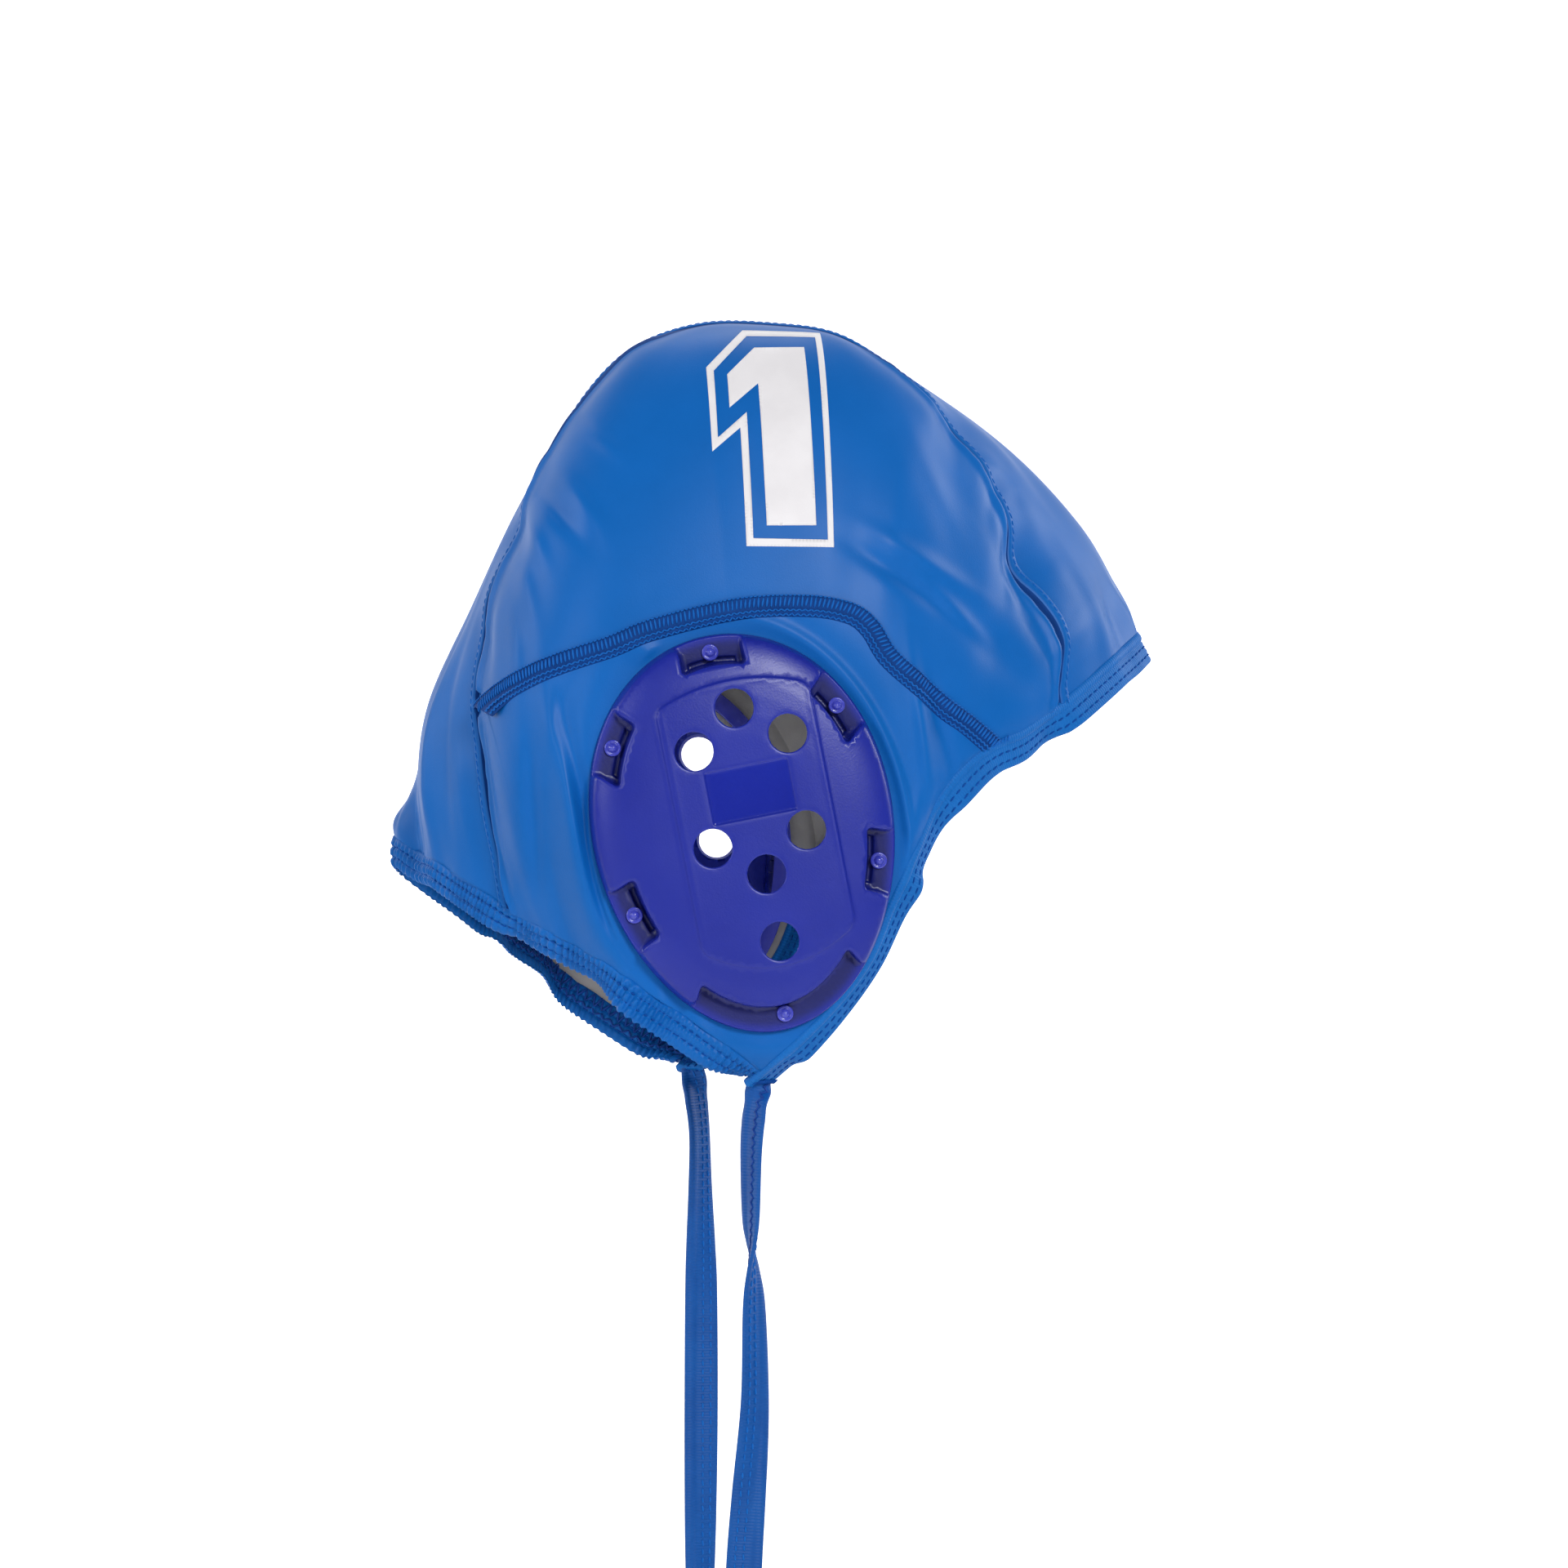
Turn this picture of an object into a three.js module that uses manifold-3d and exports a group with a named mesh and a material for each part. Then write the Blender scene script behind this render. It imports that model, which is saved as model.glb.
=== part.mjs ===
// A water polo cap: a soft hollow cap of bonded cloth with a plastic ear guard on each side, a taped front edge that
// runs on into two ties, and a gathered elastic hem round the nape. Millimetres, +Z up, +X to the wearer's front,
// -Y to the wearer's right. The origin is where the top of the head meets the inside of the crown.
import * as THREE from "three";
import { mergeVertices } from "three/addons/utils/BufferGeometryUtils.js";
import Module from "manifold-3d";

const wasm = await Module();
wasm.setup();

// Driving dimensions of the cap
const CAP_LENGTH = 230; // forehead to nape
const CAP_HEIGHT = 232; // crown to the tip of an ear flap
const HALF_WIDTH = 80; // middle to the widest place over an ear
const CLOTH = 1.6; // wall of the bonded cloth
const GAP = 0.3; // clearance between neighbouring pieces
const SEAM_GAP = 0.6; // clearance along the crown seams and the edges of the cloth
const CROWN_BOW = 2.2; // exponent of the crown panel's arch across the head
const LEFT_SWAY = 13; // how much further back the left ear hangs than the right one
const LEFT_LIFT = 4; // and how much higher

// Driving dimensions of the edges, seams and ties
const BINDING_WIDTH = 9;
const BINDING_THICKNESS = 2.8;
const BINDING_RUN_ON = 7; // how far the binding runs past the flap's tip
const HEM_WIDTH = 9;
const HEM_THICKNESS = 3.2;
const CROWN_SEAM_WIDTH = 3.4;
const CROWN_SEAM_RISE = 0.8;
const FLATLOCK_WIDTH = 6.8;
const FLATLOCK_RISE = 0.8;
const TIE_LENGTH = 160;
const TIE_WIDTH = 10.4;
const TIE_THICKNESS = 2;

// Driving dimensions of the ear guard
const GUARD_LENGTH = 114.4;
const GUARD_WIDTH = 86;
const GUARD_EGG = 0.07; // how much broader the outline is above its middle than below
const GUARD_RISE = 9.6;
const GUARD_WALL = 2.2;
const GUARD_TILT = THREE.MathUtils.degToRad(11.4);
const GUARD_LEAN = 0.07; // how much wider the cap is at the guard's top than at its foot, per millimetre
const HOLE_RADIUS = 5.5;
const PLATEAU_RISE = 0.6;
const LABEL_LENGTH = 24; // a bare, sunk rectangle on the plateau
const LABEL_WIDTH = 15;
const LABEL_DEPTH = 0.3;
const POCKET_LENGTH = 18;
const POCKET_DEPTH = 8.5; // from the rim inwards
const POCKET_FLOOR = 2.6;
const POCKET_WALL = 1.6;
const SLOT_WIDTH = 1.6;
const PIN_INSET = 4.8; // from the rim inwards
const PIN_RADIUS = 1.5;
const PIN_HEAD_RADIUS = 2.5;
const PIN_HEAD_RISE = 1.5;
const BACKING_THICKNESS = 2;
const BACKING_RIM = 3.6; // from the guard's rim in to the backing's rim
const BACKING_WIDTH = 5.4;

// Driving dimensions of the printed number
const NUMBER_HEIGHT = CAP_HEIGHT * 0.2845;
const NUMBER_RISE = 0.4;

// Stations from the forehead corner of the crown seam, over the crown, to the nape corner. x is a share of
// CAP_LENGTH, z of CAP_HEIGHT and y of HALF_WIDTH. seam: edge of the crown panel. ridge: its middle line.
// hem: lower edge of the side. wide: widest place between the two, at the share "down" of the way; round: how
// abruptly the side turns down from the seam; curl: how far the edge's band turns in towards the head, in degrees.
const STATIONS = [
  { seam: [0.362, -0.507, 0.588], ridge: [0.496, -0.397], hem: [0.362, -0.507, 0.588], wide: 0.59, down: 0.97, round: 0.8, curl: -6 },
  { seam: [0.36, -0.464, 0.588], ridge: [0.479, -0.355], hem: [0.315, -0.539, 0.7], wide: 0.7, down: 0.97, round: 0.8, curl: -18 },
  { seam: [0.352, -0.419, 0.588], ridge: [0.457, -0.308], hem: [0.272, -0.558, 0.775], wide: 0.78, down: 0.97, round: 0.8, curl: -30 },
  { seam: [0.308, -0.334, 0.575], ridge: [0.42, -0.254], hem: [0.236, -0.585, 0.825], wide: 0.84, down: 0.95, round: 0.75, curl: -36 },
  { seam: [0.283, -0.247, 0.55], ridge: [0.356, -0.185], hem: [0.201, -0.626, 0.863], wide: 0.89, down: 0.9, round: 0.7, curl: -22 },
  { seam: [0.237, -0.17, 0.525], ridge: [0.285, -0.127], hem: [0.171, -0.689, 0.863], wide: 0.93, down: 0.8, round: 0.62, curl: 10 },
  { seam: [0.175, -0.097, 0.5], ridge: [0.2, -0.073], hem: [0.139, -0.752, 0.84], wide: 0.97, down: 0.62, round: 0.56, curl: 45 },
  { seam: [0.092, -0.037, 0.475], ridge: [0.104, -0.016], hem: [0.108, -0.826, 0.815], wide: 0.99, down: 0.5, round: 0.52, curl: 56 },
  { seam: [-0.002, -0.021, 0.463], ridge: [0.008, -0.002], hem: [0.057, -0.89, 0.785], wide: 1, down: 0.45, round: 0.5, curl: 48 },
  { seam: [-0.097, -0.024, 0.45], ridge: [-0.085, -0.003], hem: [-0.02, -0.964, 0.74], wide: 1, down: 0.42, round: 0.5, curl: 30 },
  { seam: [-0.185, -0.061, 0.43], ridge: [-0.176, -0.04], hem: [-0.104, -0.905, 0.78], wide: 0.99, down: 0.42, round: 0.52, curl: 0 },
  { seam: [-0.255, -0.144, 0.42], ridge: [-0.248, -0.124], hem: [-0.179, -0.857, 0.79], wide: 0.97, down: 0.42, round: 0.55, curl: 0 },
  { seam: [-0.314, -0.259, 0.43], ridge: [-0.317, -0.241], hem: [-0.229, -0.822, 0.762], wide: 0.92, down: 0.45, round: 0.6, curl: 0 },
  { seam: [-0.357, -0.383, 0.45], ridge: [-0.375, -0.366], hem: [-0.267, -0.799, 0.7], wide: 0.83, down: 0.5, round: 0.65, curl: 0 },
  { seam: [-0.368, -0.509, 0.48], ridge: [-0.43, -0.492], hem: [-0.293, -0.786, 0.637], wide: 0.73, down: 0.55, round: 0.7, curl: 0 },
  { seam: [-0.355, -0.63, 0.51], ridge: [-0.441, -0.597], hem: [-0.307, -0.778, 0.575], wide: 0.63, down: 0.6, round: 0.75, curl: 0 },
  { seam: [-0.328, -0.763, 0.525], ridge: [-0.43, -0.692], hem: [-0.328, -0.763, 0.525], wide: 0.53, down: 0.6, round: 0.75, curl: 0 },
];
const LAST = STATIONS.length - 1;
const TIP = 9; // the station whose hem point is the tip of the ear flap

// Soft folds of the side cloth: middle, half length and half width as shares of CAP_HEIGHT, turn from upright in
// degrees, and depth as a share of HALF_WIDTH, outwards where positive.
const SIDE_FOLDS = [
  { x: 0.235, z: -0.3, turn: 14, long: 0.17, across: 0.03, depth: -0.022 },
  { x: 0.18, z: -0.24, turn: 14, long: 0.17, across: 0.03, depth: 0.014 },
  { x: 0.28, z: -0.44, turn: 48, long: 0.07, across: 0.025, depth: -0.02 },
  { x: -0.3, z: -0.29, turn: -24, long: 0.05, across: 0.02, depth: 0.026 },
  { x: -0.275, z: -0.62, turn: 8, long: 0.14, across: 0.022, depth: 0.02 },
];

// Folds of the crown panel: middle and half length in stations, middle and half width as shares of its half
// width, to the left where positive, and depth as a share of HALF_WIDTH.
const CROWN_FOLDS = [
  { station: 16, long: 0.85, across: 0.47, wide: 0.3, depth: 0.26 },
  { station: 15.8, long: 1.6, across: -0.3, wide: 0.25, depth: 0.03 },
  { station: 1.6, long: 0.9, across: -0.35, wide: 0.25, depth: -0.02 },
];

// The flatlock seam over the ear, from the nape side to the front edge: x as a share of CAP_LENGTH and its height
// above the guard's upper end as a share of CAP_HEIGHT.
const FLATLOCK = [
  [-0.36, -0.09], [-0.343, -0.071], [-0.31, -0.053], [-0.268, -0.037], [-0.211, -0.019], [-0.159, 0.002],
  [-0.058, 0.027], [0.029, 0.032], [0.083, 0.024], [0.109, 0.006], [0.132, -0.029], [0.168, -0.06],
  [0.207, -0.091], [0.235, -0.109], [0.267, -0.132],
];

// The guard's middle, and its features across (towards the front) and along it as shares of half its width and
// half its length. Angles run round the outline in degrees from the front, upwards.
const GUARD_MIDDLE = { x: -0.045, y: 0.94, z: -0.671 };
const GUARD_AXIS = 0.075; // the line that the holes and the plateau are laid out on
const HOLE_SPREAD = 0.315;
const HOLES = [[0, 0.625], [1, 0.452], [-1, 0.452], [1, -0.035], [-1, -0.035], [0, -0.21], [0, -0.55]];
const POCKETS_AT = [90, 36.5, 143, -17, 199];
const LONG_POCKET = { from: -126, to: -50, inner: 0.86, pin: -88 };
const PLATEAU = { half: 0.515, top: 0.68, topBow: 0.085, foot: -0.54, footBow: 0.134 };
const LABEL_AT = 0.205;

// The block number 1, as shares of its height from the foot of the stem's left side: its rim and its face.
const DIGIT_RIM_OUTER = [
  [0.018, 1], [0.366, 1], [0.38, 0], [0, 0], [-0.017, 0.53], [-0.141, 0.42], [-0.155, 0.81],
];
const DIGIT_RIM_INNER = [
  [0.033, 0.97], [0.339, 0.974], [0.354, 0.032], [0.03, 0.035], [0.013, 0.601], [-0.115, 0.483], [-0.123, 0.795],
];
const DIGIT = [
  [0.061, 0.909], [0.283, 0.917], [0.304, 0.095], [0.089, 0.092], [0.068, 0.736], [-0.061, 0.621], [-0.065, 0.777],
];
const DIGIT_FOOT = { x: -0.044, z: -0.319 };

// Where a tie runs: how far down its length, sideways offsets from its start in tie widths, and the turn of its
// broad side in degrees from facing sideways.
const TIE_RIGHT = [
  { down: 0, front: 0, out: 0, turn: 30 },
  { down: 0.04, front: -0.14, out: -0.05, turn: 54 },
  { down: 0.12, front: -0.26, out: -0.1, turn: 62 },
  { down: 0.24, front: -0.27, out: -0.15, turn: 70 },
  { down: 0.29, front: -0.25, out: -0.15, turn: 84 },
  { down: 0.34, front: -0.23, out: -0.15, turn: 108 },
  { down: 0.41, front: -0.2, out: -0.15, turn: 129 },
  { down: 0.58, front: -0.18, out: -0.12, turn: 142 },
  { down: 0.75, front: -0.35, out: -0.1, turn: 164 },
  { down: 0.86, front: -0.46, out: -0.1, turn: 178 },
  { down: 1, front: -0.55, out: -0.1, turn: 184 },
];
const TIE_LEFT = [
  { down: 0, front: 0, out: 0, turn: 20 },
  { down: 0.05, front: 0.08, out: -0.05, turn: 44 },
  { down: 0.13, front: 0.2, out: -0.1, turn: 53 },
  { down: 0.24, front: 0.22, out: -0.15, turn: 46 },
  { down: 0.34, front: 0.23, out: -0.15, turn: 32 },
  { down: 0.44, front: 0.24, out: -0.12, turn: 18 },
  { down: 0.65, front: 0.24, out: -0.1, turn: 9 },
  { down: 0.85, front: 0.23, out: -0.1, turn: 20 },
  { down: 1, front: 0.22, out: -0.1, turn: 34 },
];

// Mesh resolution
const FRONT_STEPS = 15; // from the forehead to the ear flap's tip
const NAPE_STEPS = 11; // from the tip to the nape
const SIDE_ROWS = 8;
const CROWN_ROWS = 8;
const GUARD_SIDES = 24;
const TIE_STEPS = 20;
const HOLE_SIDES = 8;
const PIN_SIDES = 6;
const FLATNESS = 0.02; // facets that lie flatter than this are joined
const CORNER_CUT = 0.1; // stations left off where the seam and the hem meet in a point

const smooth = (from, to, value) => THREE.MathUtils.smoothstep(value, from, to);
const mix = THREE.MathUtils.lerp;

// A smooth curve through one [x, z] or [x, z, y] column of the stations, or through part of it.
function stationCurve(column, first = 0, last = LAST) {
  const points = STATIONS.slice(first, last + 1).map((row) => {
    const [x, z, y = 0] = row[column];
    return new THREE.Vector3(x * CAP_LENGTH, y * HALF_WIDTH, z * CAP_HEIGHT);
  });
  const curve = new THREE.CatmullRomCurve3(points, false, "catmullrom", 0.5);
  return (station) => curve.getPoint((station - first) / (last - first));
}

function stationValue(column) {
  const points = STATIONS.map((row) => new THREE.Vector3(row[column], 0, 0));
  const curve = new THREE.CatmullRomCurve3(points, false, "catmullrom", 0.5);
  return (station) => curve.getPoint(station / LAST).x;
}

const seamAt = stationCurve("seam");
const ridgeAt = stationCurve("ridge");
const frontHemAt = stationCurve("hem", 0, TIP);
const napeHemAt = stationCurve("hem", TIP, LAST);
const hemAt = (station) => (station <= TIP ? frontHemAt(station) : napeHemAt(station));
const wideAt = stationValue("wide");
const downAt = stationValue("down");
const roundAt = stationValue("round");
const curlAt = stationValue("curl");

// The guard's own frame on the right side of the cap: across towards the front, along upwards, out from the head.
const guardMiddle = new THREE.Vector3(
  GUARD_MIDDLE.x * CAP_LENGTH, -GUARD_MIDDLE.y * HALF_WIDTH, GUARD_MIDDLE.z * CAP_HEIGHT,
);
const guardOut = new THREE.Vector3(0, -1, -GUARD_LEAN).normalize();
const guardAlong = new THREE.Vector3(-Math.sin(GUARD_TILT), 0, Math.cos(GUARD_TILT));
guardAlong.addScaledVector(guardOut, -guardAlong.dot(guardOut)).normalize();
const guardAcross = guardAlong.clone().cross(guardOut);
const guardFrame = new THREE.Matrix4().makeBasis(guardAcross, guardAlong, guardOut).setPosition(guardMiddle);

// A point of the guard's egg-shaped outline, at an angle in radians and a share of its full size.
function guardOutline(angle, share = 1) {
  const across = (GUARD_WIDTH / 2) * Math.cos(angle) * (1 + GUARD_EGG * Math.sin(angle));
  return new THREE.Vector2(across * share, (GUARD_LENGTH / 2) * Math.sin(angle) * share);
}

// The outline drawn in by a distance from the rim.
function insetOutline(angle, inset) {
  const rim = guardOutline(angle);
  return rim.setLength(rim.length() - inset);
}

// How far a place of the side lies from the guard's middle, as a share of the guard's outline.
function guardShare(x, z) {
  const dx = x - guardMiddle.x;
  const dz = z - guardMiddle.z;
  const across = dx * Math.cos(GUARD_TILT) + dz * Math.sin(GUARD_TILT);
  const along = dz * Math.cos(GUARD_TILT) - dx * Math.sin(GUARD_TILT);
  return Math.hypot(across / (GUARD_WIDTH / 2), along / (GUARD_LENGTH / 2));
}

function foldDepth(x, z) {
  return SIDE_FOLDS.reduce((sum, fold) => {
    const turn = THREE.MathUtils.degToRad(fold.turn);
    const dx = x - fold.x * CAP_LENGTH;
    const dz = z - fold.z * CAP_HEIGHT;
    const along = (dz * Math.cos(turn) - dx * Math.sin(turn)) / (fold.long * CAP_HEIGHT);
    const across = (dx * Math.cos(turn) + dz * Math.sin(turn)) / (fold.across * CAP_HEIGHT);
    return sum + fold.depth * HALF_WIDTH * Math.exp(-along * along - across * across);
  }, 0);
}

// Outer surface of the right side: station from the forehead to the nape, down from the seam (0) to the hem (1).
function sidePoint(station, down) {
  const seam = seamAt(station);
  const hem = hemAt(station);
  const x = mix(seam.x, hem.x, down);
  const z = mix(seam.z, hem.z, down);
  const wide = wideAt(station) * HALF_WIDTH;
  const turnAt = downAt(station);
  const bulge = down < turnAt ? Math.pow(1 - (1 - down / turnAt) ** 2, roundAt(station)) : 0;
  const out = down < turnAt
    ? mix(seam.y, wide, bulge)
    : mix(wide, hem.y, ((down - turnAt) / (1 - turnAt)) ** 2);
  const share = guardShare(x, z);
  const plane = -guardMiddle.y + GUARD_LEAN * (z - guardMiddle.z);
  const flat = 1 - smooth(1.07, 1.3, share);
  const loose = 1 - smooth(0.85, 1, down);
  return new THREE.Vector3(x, -mix(out, plane, flat) - (1 - flat) * loose * foldDepth(x, z), z);
}

// Outer surface of the crown panel: across from the right seam (-1) to the left seam (1).
function crownPoint(station, across) {
  const seam = seamAt(station);
  const ridge = ridgeAt(station);
  const rise = 1 - Math.pow(Math.abs(across), CROWN_BOW);
  const point = new THREE.Vector3(mix(seam.x, ridge.x, rise), across * seam.y, mix(seam.z, ridge.z, rise));
  const outward = new THREE.Vector3(ridge.x - seam.x, 0, ridge.z - seam.z).normalize();
  const depth = CROWN_FOLDS.reduce((sum, fold) => {
    const along = (station - fold.station) / fold.long;
    const aside = (across - fold.across) / fold.wide;
    return sum + fold.depth * HALF_WIDTH * Math.exp(-along * along - aside * aside);
  }, 0);
  return point.addScaledVector(outward, depth * (1 - across * across));
}

// The left ear hangs further back than the right one, and the cloth round it and the tie below go with it.
function swayed(point) {
  if (point.y <= 0) return point;
  const share = guardShare(point.x, Math.max(point.z, hemAt(TIP).z));
  const loose = 1 - smooth(1.03, 2, share);
  return point.add(new THREE.Vector3(-LEFT_SWAY * loose, 0, LEFT_LIFT * loose));
}

// Outward normal of a surface by differences, kept off its edges, where the rows crowd together.
function slopeNormal(surface, a, b, [lowA, highA], [lowB, highB]) {
  const stepA = 0.05;
  const stepB = 0.02;
  const u = THREE.MathUtils.clamp(a, lowA + stepA, highA - stepA);
  const v = THREE.MathUtils.clamp(b, lowB + stepB, highB - stepB);
  const alongA = surface(u + stepA, v).sub(surface(u - stepA, v));
  const alongB = surface(u, v + stepB).sub(surface(u, v - stepB));
  return alongA.cross(alongB).normalize();
}

const sideSlope = (station, down) => slopeNormal(sidePoint, station, down, [0.5, LAST - 0.5], [0, 1]);
const crownSlope = (station, across) => slopeNormal(crownPoint, station, across, [0, LAST], [-1, 1]);

function seamNormal(station) {
  return sideSlope(station, 0).sub(crownSlope(station, -1)).normalize();
}

function sideNormal(station, down) {
  const near = smooth(0, 0.1, down);
  return seamNormal(station).multiplyScalar(1 - near).addScaledVector(sideSlope(station, down), near).normalize();
}

function crownNormal(station, across) {
  const near = 1 - smooth(0.7, 1, Math.abs(across));
  const edge = seamNormal(station);
  edge.y *= across > 0 ? -1 : 1;
  return edge.multiplyScalar(1 - near).addScaledVector(crownSlope(station, across), -near).normalize();
}

// Geometry from rings of points with the same count, closed by a flat cap at each end.
function loft(rings) {
  const sides = rings[0].length;
  const points = rings.flat();
  const middles = [rings[0], rings.at(-1)].map((ring) =>
    ring.reduce((sum, p) => sum.add(p), new THREE.Vector3()).divideScalar(sides));
  const index = [];
  for (let r = 0; r < rings.length - 1; r++) {
    for (let k = 0; k < sides; k++) {
      const a = r * sides + k;
      const b = r * sides + ((k + 1) % sides);
      index.push(a, b, b + sides, a, b + sides, a + sides);
    }
  }
  const first = points.push(...middles) - 2;
  const top = (rings.length - 1) * sides;
  for (let k = 0; k < sides; k++) {
    const next = (k + 1) % sides;
    index.push(first, next, k, first + 1, top + k, top + next);
  }
  return new THREE.BufferGeometry().setFromPoints(points).setIndex(index);
}

// Geometry of a slab between two offsets of a surface, over a grid of its two parameters.
function slab(surface, normal, gridA, gridB, low, high) {
  const rings = gridA.map((a) => {
    const ring = gridB.map((b) => surface(a, b).addScaledVector(normal(a, b), high));
    gridB.slice().reverse().forEach((b) => ring.push(surface(a, b).addScaledVector(normal(a, b), low)));
    return ring;
  });
  const sides = rings[0].length;
  const half = gridB.length;
  const geometry = loft(rings);
  const index = Array.from(geometry.index.array).slice(0, (rings.length - 1) * sides * 6);
  const top = (rings.length - 1) * sides;
  for (let k = 0; k < half - 1; k++) {
    const back = sides - 1 - k;
    index.push(k, back, k + 1, k + 1, back, back - 1);
    index.push(top + k, top + k + 1, top + back, top + k + 1, top + back - 1, top + back);
  }
  return geometry.setIndex(index);
}

const grid = (from, to, steps) => Array.from({ length: steps + 1 }, (_, i) => mix(from, to, i / steps));
const frontStations = grid(CORNER_CUT, TIP, FRONT_STEPS);
const napeStations = grid(TIP, LAST - CORNER_CUT, NAPE_STEPS);
const sideGrid = [...frontStations, ...napeStations.slice(1)];
const downGrid = grid(0, 1, SIDE_ROWS).map((share) => Math.pow(share, 1.35));
const crownEdge = 1 - SEAM_GAP / seamAt(LAST / 2).y;
const crownGrid = grid(-crownEdge, crownEdge, CROWN_ROWS);

// A manifold-3d solid from a geometry, turned outside out where its faces point inwards, and back.
function solidOf(geometry) {
  const bare = new THREE.BufferGeometry().setAttribute("position", geometry.getAttribute("position"));
  if (geometry.index) bare.setIndex(geometry.index);
  const merged = mergeVertices(bare, 1e-4);
  const vertProperties = new Float32Array(merged.getAttribute("position").array);
  const triVerts = new Uint32Array(merged.index.array);
  const made = new wasm.Manifold(new wasm.Mesh({ numProp: 3, vertProperties, triVerts }));
  if (made.volume() > 0) return made;
  for (let i = 0; i < triVerts.length; i += 3) {
    [triVerts[i + 1], triVerts[i + 2]] = [triVerts[i + 2], triVerts[i + 1]];
  }
  return new wasm.Manifold(new wasm.Mesh({ numProp: 3, vertProperties, triVerts }));
}

function geometryOf(solid) {
  const mesh = solid.getMesh();
  const points = [];
  for (let i = 0; i < mesh.numVert; i++) {
    points.push(new THREE.Vector3(...mesh.vertProperties.subarray(i * mesh.numProp, i * mesh.numProp + 3)));
  }
  return new THREE.BufferGeometry().setFromPoints(points).setIndex(Array.from(mesh.triVerts));
}

const largest = (solid) => solid.decompose().sort((a, b) => b.volume() - a.volume())[0];

// A prism from points in the x-z plane, through the whole right side of the cap.
function sidePrism(points) {
  const geometry = new THREE.ExtrudeGeometry(new THREE.Shape(points), { depth: 2 * HALF_WIDTH, bevelEnabled: false });
  return solidOf(geometry.rotateX(Math.PI / 2));
}

// A prism in the guard's frame, between two heights above its base.
function guardPrism(points, low, high) {
  const geometry = new THREE.ExtrudeGeometry(new THREE.Shape(points), { depth: high - low, bevelEnabled: false });
  return solidOf(geometry.translate(0, 0, low).applyMatrix4(guardFrame));
}

function guardCylinder(at, radius, low, high, topRadius = radius) {
  const geometry = new THREE.CylinderGeometry(topRadius, radius, high - low, radius > PIN_HEAD_RADIUS ? HOLE_SIDES : PIN_SIDES);
  geometry.rotateX(Math.PI / 2).translate(at.x, at.y, (low + high) / 2);
  return solidOf(geometry.applyMatrix4(guardFrame));
}

// A flat ribbon of points on both sides of a line in the x-z plane.
function ribbonOutline(line, width, lengthen) {
  const points = line.map((p) => new THREE.Vector3(p.x, 0, p.y));
  const start = points[0].clone().sub(points[1]).setLength(lengthen).add(points[0]);
  const end = points.at(-1).clone().sub(points.at(-2)).setLength(lengthen).add(points.at(-1));
  const all = [start, ...points, end];
  const sides = [1, -1].map((side) => all.map((p, i) => {
    const along = all[Math.min(i + 1, all.length - 1)].clone().sub(all[Math.max(i - 1, 0)]).normalize();
    return new THREE.Vector2(p.x - (side * along.z * width) / 2, p.z + (side * along.x * width) / 2);
  }));
  return [...sides[0], ...sides[1].reverse()];
}

// Frames along an edge of the cloth: the middle of its wall, the way out of the cloth within its surface and the
// outward normal, both turned in by the curl there.
function edgeFrames(samples) {
  const near = (i) => samples[THREE.MathUtils.clamp(i, 0, samples.length - 1)];
  return samples.map(({ at, inside, normal, curl }, i) => {
    const along = near(i + 1).at.clone().sub(near(i - 1).at).normalize();
    const flat = near(i - 1).normal.clone().add(normal).add(normal).add(near(i + 1).normal);
    flat.addScaledVector(along, -flat.dot(along)).normalize();
    const across = flat.clone().cross(along).normalize();
    across.multiplyScalar(Math.sign(across.dot(at.clone().sub(inside))));
    const turn = THREE.MathUtils.degToRad(curl);
    return {
      along,
      middle: at.clone().addScaledVector(normal, -CLOTH / 2),
      out: across.clone().multiplyScalar(Math.cos(turn)).addScaledVector(flat, -Math.sin(turn)),
      normal: flat.clone().multiplyScalar(Math.cos(turn)).addScaledVector(across, Math.sin(turn)),
      clear: SEAM_GAP + (CLOTH / 2) * Math.abs(Math.sin(turn)),
    };
  });
}

// The cloth's edge from the right ear flap's tip to the left one's, round the forehead or round the nape.
function edgePath(cornerStation) {
  const inward = cornerStation === 0 ? 0.3 : -0.3;
  const stations = cornerStation === 0 ? frontStations.slice().reverse() : napeStations;
  const side = stations.map((station) => ({
    at: sidePoint(station, 1), inside: sidePoint(station, 0.9), normal: sideNormal(station, 1), curl: curlAt(station),
  }));
  const middle = crownGrid.map((across) => ({
    at: crownPoint(cornerStation, across),
    inside: crownPoint(cornerStation + inward, across),
    normal: crownNormal(cornerStation, across),
    curl: curlAt(cornerStation),
  }));
  const flip = new THREE.Vector3(1, -1, 1);
  const other = side.map(({ at, inside, normal, curl }) => ({
    at: at.clone().multiply(flip), inside: inside.clone().multiply(flip), normal: normal.clone().multiply(flip), curl,
  }));
  return edgeFrames([...side, ...middle, ...other.reverse()]);
}

// Lengthens a path straight on at both ends.
function runOn(frames, distance) {
  const add = (frame, way) => ({ ...frame, middle: frame.middle.clone().addScaledVector(frame.along, way * distance) });
  return [add(frames[0], -1), ...frames, add(frames.at(-1), 1)];
}

// A band along an edge: it starts clear of the cloth, by a margin less, and is rounded on its free side.
function band(frames, width, thickness, margin = 0) {
  const half = thickness / 2;
  const corner = thickness / 3;
  return loft(frames.map(({ middle, normal, out, clear }) => {
    const start = clear - margin;
    const section = [
      [start, -half], [width - corner, -half], [width, corner - half],
      [width, half - corner], [width - corner, half], [start, half],
    ];
    return section.map(([reach, height]) =>
      middle.clone().addScaledVector(out, reach).addScaledVector(normal, height));
  }));
}

const frontPath = edgePath(0);
const hemPath = edgePath(LAST);

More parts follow.
